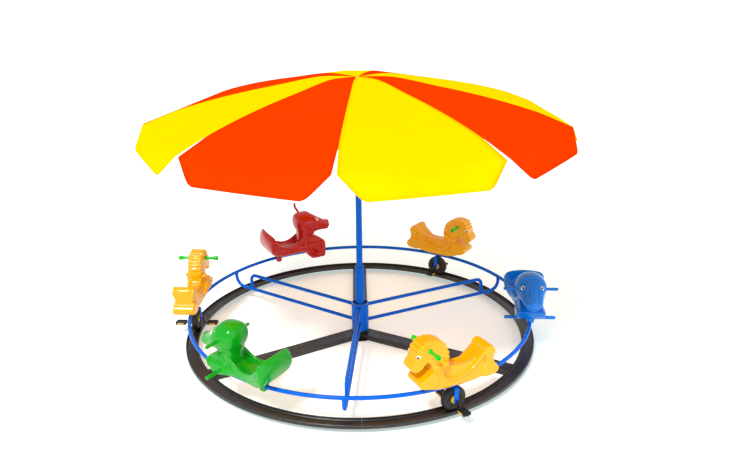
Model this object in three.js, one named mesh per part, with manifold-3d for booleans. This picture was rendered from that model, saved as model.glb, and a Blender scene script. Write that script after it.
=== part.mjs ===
// Playground roundabout: a canopy on a centre pole over a spinning ring that carries six animal seats.
// Millimetres, +Z up. The origin is on the pole's axis at floor level.
// Heights are counted from the deck, the level of the base bars' top, on which the track lies.
// Azimuths are degrees counter-clockwise from +X, seen from above.
import * as THREE from "three";
import { mergeVertices } from "three/addons/utils/BufferGeometryUtils.js";
import Module from "manifold-3d";

const wasm = await Module();
wasm.setup();

// Driving dimensions
const RING_RADIUS = 1400;
const RING_HEIGHT = 216;
const TUBE_RADIUS = 15;
const TUBE_SIDES = 8;
const RING_STEP = 4;
const GROOVE_GAP = 0.5;
const SEAT_GAP = 0.3;
const FLAT_FACTOR = Math.cos(Math.PI / TUBE_SIDES);

const DECK = 42;
const TRACK_OUTER = 1444;
const TRACK_INNER = 1343;
const TRACK_HEIGHT = 27;
const TRACK_WALL = 6;
const TRACK_FLOOR = 7;
const TRACK_STEPS = 24;

const BAR_WIDTH = 130;
const BAR_AZIMUTHS = [-150, -30, 90];
const BAR_REACH = 1400;
const FOOT_RADIUS = 75;
const PLATE_RADIUS = 125;
const PLATE_THICK = 6;

const SLEEVE_RADIUS = 70.5;
const SLEEVE_BORE = 61.5;
const SLEEVE_BOTTOM = 20;
const SLEEVE_TOP = 266;
const POLE_RADIUS = 38;
const POLE_STEP = 588;
const MAST_RADIUS = 25.5;

const LOWER_TUBE_HEIGHT = 91;
const LOWER_BEND = 90;
const UPPER_TUBE_HEIGHT = 232;
const UPPER_POST_RADIUS = 1214;
const UPPER_BEND = 50;
const FRAME_AZIMUTHS = [25.2, 145.2, 265.2];

const WHEEL_RADIUS = 94;
const WHEEL_CIRCLE = 1392;
const WHEEL_HALF = 29;
const AXLE_HEIGHT = TRACK_FLOOR + WHEEL_RADIUS + SEAT_GAP;
const AXLE_RADIUS = 7;
const LEG_OFFSET = 40;
const LEG_THICK = 5;
const LEG_WIDTH = 36;
const CRANK_OFFSET = 66;
const CRANK_THICK = 9;
const CRANK_LENGTH = 38;
const PEDAL_OFFSET = 133;
const PEDAL_WIDTH = 86;
const PEDAL_LENGTH = 64;
const PEDAL_THICK = 22;
const SPINDLE_RADIUS = 6;
const SPINDLE_BORE = 6.8;

const CANOPY_PANELS = 9;
const CANOPY_FIRST = 265.03;
const CANOPY_CLOTH = 4;
const CANOPY_PROFILE = [
  [30, 2134],
  [280, 2140],
  [595, 2086],
  [818, 2046],
  [1078, 1990],
  [1340, 1920],
  [1500, 1863],
  [1611.6, 1820.5],
];
// Neighbouring panels part from this radius outward, up to this half distance at the last row
const SLIT_START = 1340;
const SLIT_HALF = 16.6;
const RIB_DEPTH = 14;
const RIB_WIDTH = 8;
const RIB_GAP = 0.8;
const BRACE_RADIUS = 7;
// The hanging flap's rows: the share of its side, the middle's (outward, height), the lean and the half width
const FLAP_ROWS = [
  [0.3, 1577, 1787, 40, 496],
  [0.55, 1609, 1761, 62, 463],
  [0.75, 1617, 1724, 82, 436],
  [0.9, 1618, 1694, 88, 410],
  [1, 1617, 1669, 90, 376],
];
// The flap's lower corner before rounding, as (outward, height)
const FLAP_CORNER = [1615, 1670.6];

const LIONS = { front: -63.95, back: 55.25, left: 175.85 };
const WHEEL_LEAD = 1.2;
const DOGS = { blue: -4.8, red: 118.6, green: 235.2 };

const BLUE = 0x1258be;
const BLACK = 0x2a2a2a;
const YELLOW = 0xffeb00;
const ORANGE = 0xff4200;
const LION = 0xf7b52c;
const HANDLE = 0x1ec828;
const STEEL = 0xb9b4a8;
const DOG_COLOURS = { blue: 0x2378c8, red: 0xaa322d, green: 0x2dbe32 };
const PANEL_COLOURS = [YELLOW, ORANGE, YELLOW, ORANGE, YELLOW, YELLOW, ORANGE, YELLOW, ORANGE];

const radians = THREE.MathUtils.degToRad;
const roundabout = new THREE.Group();
const deck = new THREE.Group();
deck.position.z = DECK;
roundabout.add(deck);

// Adds one named sub-part to a group.
function add(group, name, geometry, color, roughness = 0.35, metalness = 0) {
  const material = new THREE.MeshStandardMaterial({ color, roughness, metalness });
  const mesh = new THREE.Mesh(geometry, material);
  mesh.name = name;
  group.add(mesh);
  return mesh;
}

// A geometry as a manifold-3d solid.
function solidOf(geometry) {
  const bare = geometry.index ? geometry.toNonIndexed() : geometry.clone();
  bare.deleteAttribute("normal");
  bare.deleteAttribute("uv");
  const merged = mergeVertices(bare, 1e-3);
  const mesh = new wasm.Mesh({
    numProp: 3,
    vertProperties: merged.attributes.position.array,
    triVerts: new Uint32Array(merged.index.array),
  });
  return new wasm.Manifold(mesh);
}

// A manifold-3d solid as a geometry.
function geometryOf(solid) {
  const mesh = solid.getMesh();
  const position = new THREE.BufferAttribute(new Float32Array(mesh.vertProperties), 3);
  const geometry = new THREE.BufferGeometry().setAttribute("position", position);
  geometry.setIndex(new THREE.BufferAttribute(new Uint32Array(mesh.triVerts), 1));
  return geometry;
}

function join(pieces) {
  return geometryOf(pieces.map(solidOf).reduce((whole, piece) => whole.add(piece)));
}

function cut(geometry, tools) {
  const whole = tools.reduce((rest, tool) => rest.subtract(solidOf(tool)), solidOf(geometry));
  return geometryOf(whole);
}

// A level arc about a centre, as a path for a section to follow.
class LevelArc extends THREE.Curve {
  constructor(radius, height, from, to) {
    super();
    Object.assign(this, { radius, height, from, to });
  }
  getPoint(t, target = new THREE.Vector3()) {
    const angle = radians(this.from + (this.to - this.from) * t);
    return target.set(this.radius * Math.cos(angle), this.radius * Math.sin(angle), this.height);
  }
}

// A regular polygon section with a flat side down.
function tubeSection(radius, sides = TUBE_SIDES) {
  const corners = [];
  for (let i = 0; i < sides; i++) {
    const angle = ((i + 0.5) / sides) * 2 * Math.PI;
    corners.push(new THREE.Vector2(radius * Math.cos(angle), radius * Math.sin(angle)));
  }
  return new THREE.Shape(corners);
}

// A section swept along a path.
function sweep(section, path, steps) {
  return new THREE.ExtrudeGeometry(section, { steps, bevelEnabled: false, extrudePath: path });
}

// A lathe about Z from (radius, height) points that close on themselves or on the axis.
function lathe(points, segments) {
  const profile = points.map(([radius, height]) => new THREE.Vector2(radius, height));
  return new THREE.LatheGeometry(profile, segments).rotateX(Math.PI / 2);
}

function ringProfile(inner, outer, low, high) {
  return [[inner, low], [outer, low], [outer, high], [inner, high], [inner, low]];
}

function rod(radius, from, to, sides = 12) {
  const start = new THREE.Vector3(...from);
  const end = new THREE.Vector3(...to);
  const along = end.clone().sub(start);
  const turn = new THREE.Quaternion();
  turn.setFromUnitVectors(new THREE.Vector3(0, 1, 0), along.clone().normalize());
  const middle = start.clone().addScaledVector(along, 0.5);
  return new THREE.CylinderGeometry(radius, radius, along.length(), sides)
    .applyQuaternion(turn)
    .translate(middle.x, middle.y, middle.z);
}

function block(length, width, height, x, y, z) {
  return new THREE.BoxGeometry(length, width, height).translate(x, y, z);
}

// A side elevation in (forward, up), extruded across to the given half width with rounded edges.
function slab(points, halfWidth, round = 8) {
  const outline = new THREE.Shape(points.map(([x, z]) => new THREE.Vector2(x, z)));
  const depth = 2 * (halfWidth - round);
  const options = {
    depth,
    steps: 1,
    bevelEnabled: true,
    bevelThickness: round,
    bevelSize: round,
    bevelOffset: -round,
    bevelSegments: 1,
  };
  return new THREE.ExtrudeGeometry(outline, options)
    .translate(0, 0, -depth / 2)
    .rotateX(Math.PI / 2);
}

// A body lofted along sections in the side elevation.
// Each section is [forward, up, pitch in degrees, half width, half thickness], and may add a shift aside.
function loft(sections, sides = 10, squareness = 2.6) {
  const geometry = new THREE.CylinderGeometry(1, 1, 1, sides, sections.length - 1);
  const position = geometry.attributes.position;
  for (let i = 0; i < position.count; i++) {
    const x = position.getX(i);
    const z = position.getZ(i);
    const row = Math.round((position.getY(i) + 0.5) * (sections.length - 1));
    const [forward, up, pitch, halfWidth, halfThick, aside = 0] = sections[row];
    const angle = Math.atan2(z, x);
    const size = Math.hypot(x, z);
    const power = 2 / squareness;
    const across = Math.sign(Math.cos(angle)) * Math.abs(Math.cos(angle)) ** power * size * halfWidth;
    const down = Math.sign(Math.sin(angle)) * Math.abs(Math.sin(angle)) ** power * size * halfThick;
    const lean = radians(pitch);
    position.setXYZ(i, forward + down * Math.sin(lean), aside + across, up - down * Math.cos(lean));
  }
  return geometry;
}

// The wheel track: a rolled channel with its two edges up, in three lengths.
function trackSection() {
  const middle = (TRACK_OUTER + TRACK_INNER) / 2;
  const half = (TRACK_OUTER - TRACK_INNER) / 2;
  const corners = [
    [0, -half],
    [0, half],
    [TRACK_HEIGHT, half],
    [TRACK_HEIGHT, half - TRACK_WALL],
    [TRACK_FLOOR, half - TRACK_WALL],
    [TRACK_FLOOR, -half + TRACK_WALL],
    [TRACK_HEIGHT, -half + TRACK_WALL],
    [TRACK_HEIGHT, -half],
  ];
  const points = corners.map(([up, outward]) => new THREE.Vector2(-up, -outward));
  return { middle, shape: new THREE.Shape(points) };
}

function addTrack(group) {
  const { middle, shape } = trackSection();
  const gap = (SEAT_GAP / middle) * (180 / Math.PI);
  for (let i = 0; i < 3; i++) {
    const from = -90 + i * 120;
    const path = new LevelArc(middle, 0, from + gap / 2, from + 120 - gap / 2);
    add(group, `track_rail_${i + 1}`, sweep(shape, path, TRACK_STEPS), BLACK, 0.4, 0.3);
  }
}

// Three flat bars from the round foot of the centre post to below the track, over a thin centre plate.
function addBaseBars(group) {
  const half = BAR_WIDTH / 2;
  const steps = 6;
  const foot = (FOOT_RADIUS + SEAT_GAP) / Math.cos(radians(60 / steps));
  const spread = Math.asin(half / foot);
  const plate = [
    [0, -DECK - 1],
    [PLATE_RADIUS + 1, -DECK - 1],
    [PLATE_RADIUS + 1, -DECK + PLATE_THICK + SEAT_GAP],
    [0, -DECK + PLATE_THICK + SEAT_GAP],
  ];
  BAR_AZIMUTHS.forEach((azimuth, i) => {
    const outline = new THREE.Shape();
    outline.moveTo(foot * Math.cos(spread), -half);
    outline.lineTo(BAR_REACH, -half);
    outline.lineTo(BAR_REACH, half);
    outline.lineTo(foot * Math.cos(spread), half);
    outline.absarc(0, 0, foot, spread, -spread, true);
    const options = { depth: DECK - SEAT_GAP, bevelEnabled: false, curveSegments: steps };
    const bar = new THREE.ExtrudeGeometry(outline, options)
      .translate(0, 0, -DECK)
      .rotateZ(radians(azimuth));
    add(group, `base_bar_${i + 1}`, cut(bar, [lathe(plate, 20)]), BLACK, 0.4, 0.3);
  });
}

// The fixed post inside the hub, and the pole and mast that stand in it.
function addPole(group) {
  const socket = POLE_RADIUS + SEAT_GAP;
  const post = [
    [0, -DECK],
    [PLATE_RADIUS, -DECK],
    [PLATE_RADIUS, -DECK + PLATE_THICK],
    [FOOT_RADIUS, -DECK + PLATE_THICK],
    [FOOT_RADIUS, 0],
    [55, 0],
    [55, 10],
    [52, 10],
    [52, 89.7],
    [45, 89.7],
    [45, 130],
    [socket, 130],
    [socket, 56],
    [0, 56],
  ];
  add(group, "centre_post", lathe(post, 20), BLACK, 0.5, 0.4);
  const pole = rod(POLE_RADIUS, [0, 0, 56 + SEAT_GAP], [0, 0, POLE_STEP], 20);
  add(group, "lower_pole", pole, BLUE);
  const mast = rod(MAST_RADIUS, [0, 0, POLE_STEP + SEAT_GAP], [0, 0, CANOPY_PROFILE[0][1] - 6], 20);
  add(group, "upper_mast", mast, BLUE);
}

// One canopy panel: a gore of cloth, flat across, that folds over at the rim into a hanging flap.
// Rows run outward along the panel's middle line.
function goreRow([radius, height]) {
  const half = radians(180 / CANOPY_PANELS);
  const [rimRadius] = CANOPY_PROFILE[CANOPY_PROFILE.length - 1];
  const parting = Math.max(0, (radius - SLIT_START) / (rimRadius - SLIT_START)) * SLIT_HALF;
  const out = radius * Math.cos(half);
  const width = out * Math.tan(half) - Math.max(SEAT_GAP, parting);
  return { side: [out, height], middle: [out, height], width, lean: 0 };
}

function canopyRows() {
  const rows = CANOPY_PROFILE.map(goreRow);
  const [rimOut, rimHeight] = rows[rows.length - 1].side;
  const [cornerOut, cornerHeight] = FLAP_CORNER;
  for (const [share, out, height, lean, width] of FLAP_ROWS) {
    const side = [rimOut + (cornerOut - rimOut) * share, rimHeight + (cornerHeight - rimHeight) * share];
    rows.push({ side, middle: [out, height], width, lean: radians(lean) });
  }
  return rows;
}

function canopyPanel(azimuth) {
  const rows = canopyRows();
  const columns = 6;
  const geometry = new THREE.BoxGeometry(2, 1, 1, columns, 1, rows.length - 1);
  const position = geometry.attributes.position;
  for (let i = 0; i < position.count; i++) {
    const across = position.getX(i);
    const { side, middle, width, lean } = rows[Math.round((position.getZ(i) + 0.5) * (rows.length - 1))];
    const inset = position.getY(i) < 0 ? CANOPY_CLOTH : 0;
    const share = 1 - across * across;
    const out = side[0] + (middle[0] - side[0]) * share - inset * Math.sin(lean);
    const height = side[1] + (middle[1] - side[1]) * share - inset * Math.cos(lean);
    position.setXYZ(i, out, across * width, height);
  }
  return geometry.rotateZ(azimuth);
}

function addCanopy(group) {
  for (let i = 0; i < CANOPY_PANELS; i++) {
    const azimuth = radians(CANOPY_FIRST + (i + 0.5) * (360 / CANOPY_PANELS));
    const name = `canopy_panel_${i + 1}`;
    add(group, name, canopyPanel(azimuth), PANEL_COLOURS[i], 0.6);
  }
}

// The steel frame under the cloth: ribs from a collar on the mast, and braces from a lower collar.
function ribAt(i) {
  return radians(CANOPY_FIRST + i * (360 / CANOPY_PANELS));
}

function addCanopyFrame(group) {
  const drop = CANOPY_CLOTH + RIB_GAP + RIB_DEPTH / 2;
  const collarBore = MAST_RADIUS + 2 * SEAT_GAP;
  const ribLine = CANOPY_PROFILE.slice(1)
    .filter(([radius]) => radius <= SLIT_START)
    .map(([radius, height]) => [radius, height - drop]);
  const ribs = [lathe(ringProfile(collarBore, 44, 2066, 2112), 18)];
  const braces = [lathe(ringProfile(collarBore, 40, 1830, 1880), 18)];
  const [braceRadius, braceHeight] = ribLine[2];
  for (let i = 0; i < CANOPY_PANELS; i++) {
    const angle = ribAt(i);
    ribs.push(ribBar([[36, 2098], ...ribLine]).rotateZ(angle));
    const top = [braceRadius, 0, braceHeight - RIB_DEPTH / 2 - BRACE_RADIUS];
    braces.push(rod(BRACE_RADIUS, [34, 0, 1855], top, 6).rotateZ(angle));
  }
  add(group, "canopy_ribs", join(ribs), STEEL, 0.4, 0.7);
  add(group, "canopy_braces", join(braces), STEEL, 0.4, 0.7);
}

// A rib bar in the XZ plane: a flat strip that follows the given line.
function ribBar(line) {
  const half = RIB_DEPTH / 2;
  const top = line.map(([radius, height]) => new THREE.Vector2(radius, height + half)).reverse();
  const low = line.map(([radius, height]) => new THREE.Vector2(radius, height - half));
  const outline = new THREE.Shape([...low, ...top]);
  return new THREE.ExtrudeGeometry(outline, { depth: RIB_WIDTH, bevelEnabled: false })
    .translate(0, 0, -RIB_WIDTH / 2)
    .rotateX(Math.PI / 2);
}

// The turning hub: a sleeve round the pole and the bush that it turns on.
function addHub(group) {
  const sleeve = lathe(ringProfile(SLEEVE_BORE, SLEEVE_RADIUS, SLEEVE_BOTTOM, SLEEVE_TOP), 30);
  add(group, "hub_sleeve", sleeve, BLUE);
  const bush = lathe(ringProfile(46, SLEEVE_BORE - 0.8, 90, 120), 20);
  add(group, "hub_bush", bush, STEEL, 0.5, 0.6);
}

// The seat ring, in three lengths that join under the seats without wheels.
function ringPath(first, last) {
  const gap = (SEAT_GAP / RING_RADIUS) * (180 / Math.PI);
  const from = DOGS.blue + first * RING_STEP + gap / 2;
  return new LevelArc(RING_RADIUS, RING_HEIGHT, from, DOGS.blue + last * RING_STEP - gap / 2);
}

function addSeatRing(group) {
  const steps = 120 / RING_STEP;
  for (let i = 0; i < 3; i++) {
    const path = ringPath(i * steps, (i + 1) * steps);
    add(group, `seat_ring_${i + 1}`, sweep(tubeSection(TUBE_RADIUS), path, steps), BLUE);
  }
}

// A bent tube in the XZ plane: along X, then a quarter bend up or down.
function bentTube(from, reach, height, end, bend, steps) {
  const sign = Math.sign(end - height);
  const path = new THREE.CurvePath();
  const corner = new THREE.Vector3(reach, 0, height);
  const before = new THREE.Vector3(reach - bend, 0, height);
  const after = new THREE.Vector3(reach, 0, height + sign * bend);
  path.add(new THREE.LineCurve3(new THREE.Vector3(from, 0, height), before));
  const straight = sweep(tubeSection(TUBE_RADIUS), path, 1);
  const curve = new THREE.QuadraticBezierCurve3(before.clone().setX(before.x - 2), corner, after);
  const elbow = sweep(tubeSection(TUBE_RADIUS), curve, steps);
  const leg = rod(TUBE_RADIUS, [reach, 0, height + sign * (bend - 2)], [reach, 0, end], TUBE_SIDES);
  return join([straight, elbow, leg]);
}

function addSpokeFrames(group) {
  const ringUnder = RING_HEIGHT - TUBE_RADIUS * FLAT_FACTOR - SEAT_GAP;
  const lowerTop = LOWER_TUBE_HEIGHT + TUBE_RADIUS * FLAT_FACTOR + SEAT_GAP;
  FRAME_AZIMUTHS.forEach((azimuth, i) => {
    const start = SLEEVE_RADIUS + SEAT_GAP;
    const lower = bentTube(start, RING_RADIUS, LOWER_TUBE_HEIGHT, ringUnder, LOWER_BEND, 6);
    const upper = bentTube(start, UPPER_POST_RADIUS, UPPER_TUBE_HEIGHT, lowerTop, UPPER_BEND, 5);
    add(group, `lower_spoke_${i + 1}`, lower.rotateZ(radians(azimuth)), BLUE);
    add(group, `upper_spoke_${i + 1}`, upper.rotateZ(radians(azimuth)), BLUE);
  });
}

// A group placed on the ring, with X forward along the ring (clockwise), Y outward and Z up.
function seatFrame(parent, azimuth, radius = RING_RADIUS) {
  const frame = new THREE.Group();
  frame.rotation.z = radians(azimuth - 90);
  frame.position.set(radius * Math.cos(radians(azimuth)), radius * Math.sin(radians(azimuth)), 0);
  parent.add(frame);
  return frame;
}

// The ring's own tube in a seat's frame, slightly larger, to cut its groove.
function ringCutter(azimuth, radius) {
  const reach = 5;
  const middle = Math.round((azimuth - DOGS.blue) / RING_STEP);
  const path = ringPath(middle - reach, middle + reach);
  return sweep(tubeSection(TUBE_RADIUS + GROOVE_GAP), path, 2 * reach)
    .rotateZ(-radians(azimuth - 90))
    .translate(0, -radius, 0);
}

// Outlines of the lion seat, in (forward, up)
const LION_BODY = [
  [-262, 300],
  [-284, 360],
  [-293, 440],
  [-286, 472],
  [-262, 488],
  [-228, 464],
  [-185, 432],
  [-140, 402],
  [-60, 390],
  [10, 394],
  [46, 408],
  [60, 436],
  [130, 446],
  [176, 430],
  [192, 402],
  [250, 356],
  [282, 332],
  [240, 292],
  [150, 254],
  [60, 234],
  [-60, 230],
  [-150, 244],
  [-210, 264],
];
const LION_HEAD = [
  [64, 412],
  [50, 440],
  [52, 485],
  [60, 525],
  [82, 575],
  [112, 602],
  [157, 622],
  [205, 630],
  [248, 620],
  [282, 590],
  [296, 554],
  [304, 508],
  [320, 482],
  [340, 472],
  [345, 452],
  [328, 430],
  [300, 421],
  [264, 436],
  [240, 462],
  [216, 474],
  [194, 450],
  [180, 420],
  [120, 405],
];
const LION_FRONT_PAW = [
  [150, 345],
  [156, 378],
  [174, 402],
  [194, 406],
  [216, 394],
  [256, 366],
  [286, 350],
  [299, 336],
  [288, 316],
  [262, 300],
  [230, 288],
  [196, 284],
  [166, 300],
];
const LION_REAR_PAW = [
  [-346, 296],
  [-338, 324],
  [-300, 358],
  [-258, 374],
  [-222, 358],
  [-204, 328],
  [-200, 290],
  [-214, 266],
  [-250, 258],
  [-306, 268],
];
const LION_BODY_HALF = 75;
const BELLY_EDGE = [57.5, 247.5];
const LION_HEAD_HALF = 58;
const LION_PAW_HALF = 88;
const LION_BACK_HALF = 92;
const LION_HANDLE_X = 206;
const LION_HANDLE_Z = 560;
const LION_HANDLE_HALF = 169;
const HANDLE_RADIUS = 11;

// A prism that takes the lower edge off one side of the belly.
function bellyChamfer(side) {
  const size = 60;
  const [outward, level] = BELLY_EDGE;
  const shift = size / 2 / Math.SQRT2;
  return block(360, size, size, 0, 0, 0)
    .rotateX(Math.PI / 4)
    .translate(0, side * (outward + shift), level - shift);
}

function lionSeat(azimuth) {
  const backRest = [[-299, 425], [-296, 470], [-266, 494], [-236, 488], [-218, 466], [-236, 425]];
  const pieces = [
    slab(LION_BODY, LION_BODY_HALF, 10),
    slab(LION_HEAD, LION_HEAD_HALF, 8),
    slab(LION_FRONT_PAW, LION_PAW_HALF, 10),
    slab(LION_REAR_PAW, LION_PAW_HALF, 12),
    slab(backRest, LION_BACK_HALF, 8),
  ];
  const bore = rod(HANDLE_RADIUS + 0.4, [LION_HANDLE_X, -100, LION_HANDLE_Z], [LION_HANDLE_X, 100, LION_HANDLE_Z], 8);
  const chamfers = [-1, 1].map((side) => bellyChamfer(side));
  return cut(join(pieces), [...chamfers, ringCutter(azimuth, RING_RADIUS), bore]);
}

// The lion's handlebar: a rod through the head with a knob at each end.
function lionHandle() {
  const x = LION_HANDLE_X;
  const z = LION_HANDLE_Z;
  const end = LION_HANDLE_HALF;
  const bar = rod(HANDLE_RADIUS, [x, -end, z], [x, end, z], 8);
  const knobs = [-1, 1].map((side) => rod(16, [x, side * (end - 26), z], [x, side * end, z], 8));
  return join([bar, ...knobs]);
}

function addLions(group) {
  for (const [name, azimuth] of Object.entries(LIONS)) {
    const frame = seatFrame(group, azimuth);
    add(frame, `lion_seat_${name}`, lionSeat(azimuth), LION);
    add(frame, `lion_handle_${name}`, lionHandle(), HANDLE);
  }
}

// Sections of the dog seat: [forward, up, pitch, half width, half thickness]
const DOG_RADIUS = 1380;
const DOG_BODY = [
  [-244, 482, -108, 146, 12],
  [-259, 444, -98, 164, 18],
  [-258, 390, -76, 167, 26],
  [-232, 335, -52, 162, 36],
  [-185, 302, -28, 144, 44],
  [-120, 290, -6, 118, 46],
  [-30, 291, 2, 105, 46],
  [60, 296, 4, 104, 52],
  [150, 290, 0, 106, 64],
];
const DOG_NECK = [
  [118, 290, 90, 100, 86],
  [136, 360, 90, 92, 80],
  [150, 430, 88, 90, 76],
  [158, 490, 88, 104, 98],
];
// The hood from the back of the head forward, then the narrower face and snout
const DOG_HEAD = [
  [36, 545, 0, 20, 20],
  [42, 544, 0, 62, 54],
  [60, 538, 0, 95, 84],
  [90, 530, 0, 115, 101],
  [130, 526, 0, 123, 109],
  [165, 524, 0, 124, 111],
  [188, 522, 0, 122, 109],
  [191, 521, 0, 113, 100],
  [240, 502, -10, 100, 82],
  [290, 486, -16, 84, 63],
  [330, 475, -16, 74, 53],
  [370, 466, -16, 66, 45],
  [396, 461, -14, 56, 38],
  [407, 459, -14, 34, 24],
];
// How far each seat's head sits below the highest one
const HEAD_DROP = { blue: 22, red: 0, green: 7 };
// The raised rim of the saddle, with the distance from the middle as a sixth value
const DOG_RIM = [
  [-238, 438, -62, 13, 22, 142],
  [-212, 396, -50, 13, 24, 140],
  [-165, 352, -34, 13, 24, 125],
  [-110, 327, -17, 13, 23, 108],
  [-52, 318, 0, 13, 22, 96],
  [0, 326, 16, 13, 24, 91],
  [40, 344, 32, 13, 26, 88],
  [80, 378, 42, 13, 24, 84],
];
// The chest in the side elevation. On the red seat it reaches down past the ring.
const DOG_CHEST = [[110, 262], [252, 262], [300, 334], [296, 350], [236, 392], [150, 404]];
const DEEP_CHEST = [[110, 262], [160, 184], [292, 178], [316, 260], [300, 350], [236, 396], [150, 404]];
const DOG_CHEST_HALF = 109;
const DOG_BAR_RADIUS = 11;
const DOG_HANDLE = { x: 168, z: 521, half: 206 };
const DOG_FOOTREST = { x: 204, z: 256, half: 198 };
const LEANING_GRIP = { near: [-140, 470], far: [150, 690] };

function dogSeat(name, azimuth) {
  const drop = HEAD_DROP[name];
  const { x, z, half } = DOG_HANDLE;
  const level = rod(DOG_BAR_RADIUS, [x, -half, z - drop], [x, half, z - drop], 8);
  const [nearY, nearZ] = LEANING_GRIP.near;
  const [farY, farZ] = LEANING_GRIP.far;
  const leaning = rod(DOG_BAR_RADIUS, [x - 30, nearY, nearZ], [x - 56, farY, farZ], 8);
  const foot = DOG_FOOTREST;
  const rims = [-1, 1].map((side) => {
    return loft(DOG_RIM.map((row) => [...row.slice(0, 5), side * row[5]]), 8);
  });
  const clamp = name === "red" ? [] : [block(120, 62, 50, 200, 0, 241)];
  const pieces = [
    loft(DOG_BODY),
    ...rims,
    loft(DOG_NECK),
    loft(DOG_HEAD.map(([forward, up, ...rest]) => [forward, up - drop, ...rest]), 12, 2.2),
    name === "red" ? leaning : level,
    rod(DOG_BAR_RADIUS, [foot.x, -foot.half, foot.z], [foot.x, foot.half, foot.z], 8),
    slab(name === "red" ? DEEP_CHEST : DOG_CHEST, DOG_CHEST_HALF, 12),
    ...clamp,
    block(50, 60, 70, -146, 0, 215),
  ];
  return cut(join(pieces), [ringCutter(azimuth, DOG_RADIUS)]);
}

function addDogs(group) {
  for (const [name, azimuth] of Object.entries(DOGS)) {
    const frame = seatFrame(group, azimuth, DOG_RADIUS);
    add(frame, `dog_seat_${name}`, dogSeat(name, azimuth), DOG_COLOURS[name]);
  }
}

// The fork that carries a wheel: a saddle under the ring and two flat legs down to the axle.
function wheelFork() {
  const top = RING_HEIGHT - TUBE_RADIUS * FLAT_FACTOR - SEAT_GAP;
  const saddleThick = 6;
  const low = AXLE_HEIGHT - LEG_WIDTH / 2;
  const pieces = [block(LEG_WIDTH, 2 * LEG_OFFSET + LEG_THICK, saddleThick, 0, 0, top - saddleThick / 2)];
  for (const side of [-1, 1]) {
    pieces.push(block(LEG_WIDTH, LEG_THICK, top - low, 0, side * LEG_OFFSET, (top + low) / 2));
  }
  const bore = rod(AXLE_RADIUS + 0.4, [0, -60, AXLE_HEIGHT], [0, 60, AXLE_HEIGHT]);
  return cut(join(pieces), [bore]);
}

// A fat solid tyre about the axle.
function tyre() {
  const rim = 42;
  const shoulder = WHEEL_RADIUS - 12;
  const points = [
    [rim, -WHEEL_HALF + 6],
    [shoulder, -WHEEL_HALF],
    [WHEEL_RADIUS, -WHEEL_HALF + 14],
    [WHEEL_RADIUS, WHEEL_HALF - 14],
    [shoulder, WHEEL_HALF],
    [rim, WHEEL_HALF - 6],
    [rim, -WHEEL_HALF + 6],
  ];
  return lathe(points, 24);
}

function onAxle(geometry) {
  return geometry.rotateX(-Math.PI / 2).translate(0, 0, AXLE_HEIGHT);
}

// The wheel's moulded centre, dished on both faces.
function wheelCentre() {
  const bore = AXLE_RADIUS + 0.3;
  const points = [
    [bore, -26],
    [18, -26],
    [22, -14],
    [41.4, -14],
    [41.4, 14],
    [22, 14],
    [18, 26],
    [bore, 26],
    [bore, -26],
  ];
  return lathe(points, 16);
}

// The axle with its two cranks, which both hang down, and the spindles of the pedals.
function crankAxle() {
  const spindleEnd = PEDAL_OFFSET + PEDAL_WIDTH / 2 + 6;
  const reach = CRANK_OFFSET + CRANK_THICK / 2;
  const low = AXLE_HEIGHT - CRANK_LENGTH;
  const pieces = [rod(AXLE_RADIUS, [0, -reach, AXLE_HEIGHT], [0, reach, AXLE_HEIGHT], 8)];
  for (const side of [-1, 1]) {
    const middle = AXLE_HEIGHT - CRANK_LENGTH / 2;
    pieces.push(block(20, CRANK_THICK, CRANK_LENGTH + 20, 0, side * CRANK_OFFSET, middle));
    pieces.push(rod(SPINDLE_RADIUS, [0, side * CRANK_OFFSET, low], [0, side * spindleEnd, low], 8));
    const washer = [0, side * (spindleEnd - 3), low];
    pieces.push(rod(SPINDLE_RADIUS + 4, washer, [0, side * spindleEnd, low], 8));
  }
  return join(pieces);
}

// A pedal: two treads across a round barrel that turns on the spindle.
function pedal(side) {
  const low = AXLE_HEIGHT - CRANK_LENGTH;
  const inner = side * (PEDAL_OFFSET - PEDAL_WIDTH / 2);
  const outer = side * (PEDAL_OFFSET + PEDAL_WIDTH / 2);
  const middle = side * PEDAL_OFFSET;
  const tread = 14;
  const treadX = PEDAL_LENGTH / 2 - tread / 2;
  const plate = PEDAL_LENGTH - 8;
  const pieces = [
    block(tread, PEDAL_WIDTH, PEDAL_THICK, -treadX, middle, low),
    block(tread, PEDAL_WIDTH, PEDAL_THICK, treadX, middle, low),
    block(plate, 10, PEDAL_THICK - 4, 0, inner + side * 5, low),
    block(plate, 10, PEDAL_THICK - 4, 0, outer - side * 5, low),
    rod(PEDAL_THICK / 2, [0, inner, low], [0, outer, low], 8),
  ];
  const bore = rod(SPINDLE_BORE, [0, inner - side * 5, low], [0, outer + side * 5, low], 8);
  return cut(join(pieces), [bore]);
}

function addWheels(group) {
  for (const [name, azimuth] of Object.entries(LIONS)) {
    const frame = seatFrame(group, azimuth + WHEEL_LEAD, WHEEL_CIRCLE);
    add(frame, `wheel_fork_${name}`, wheelFork(), BLUE);
    add(frame, `tyre_${name}`, onAxle(tyre()), 0x181818, 0.8);
    add(frame, `wheel_centre_${name}`, onAxle(wheelCentre()), YELLOW);
    add(frame, `crank_axle_${name}`, crankAxle(), STEEL, 0.4, 0.8);
    add(frame, `pedal_outer_${name}`, pedal(1), BLACK, 0.6);
    add(frame, `pedal_inner_${name}`, pedal(-1), BLACK, 0.6);
  }
}

addTrack(deck);
addBaseBars(deck);
addPole(deck);
addCanopy(deck);
addCanopyFrame(deck);
addHub(deck);
addSeatRing(deck);
addSpokeFrames(deck);
addLions(deck);
addDogs(deck);
addWheels(deck);

export default roundabout;
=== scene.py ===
"""Looks for the playground roundabout: its finished pieces, materials, floor, lights and camera."""

import math

import bmesh
import bpy
from mathutils import Matrix, Vector
from mathutils.bvhtree import BVHTree


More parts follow.
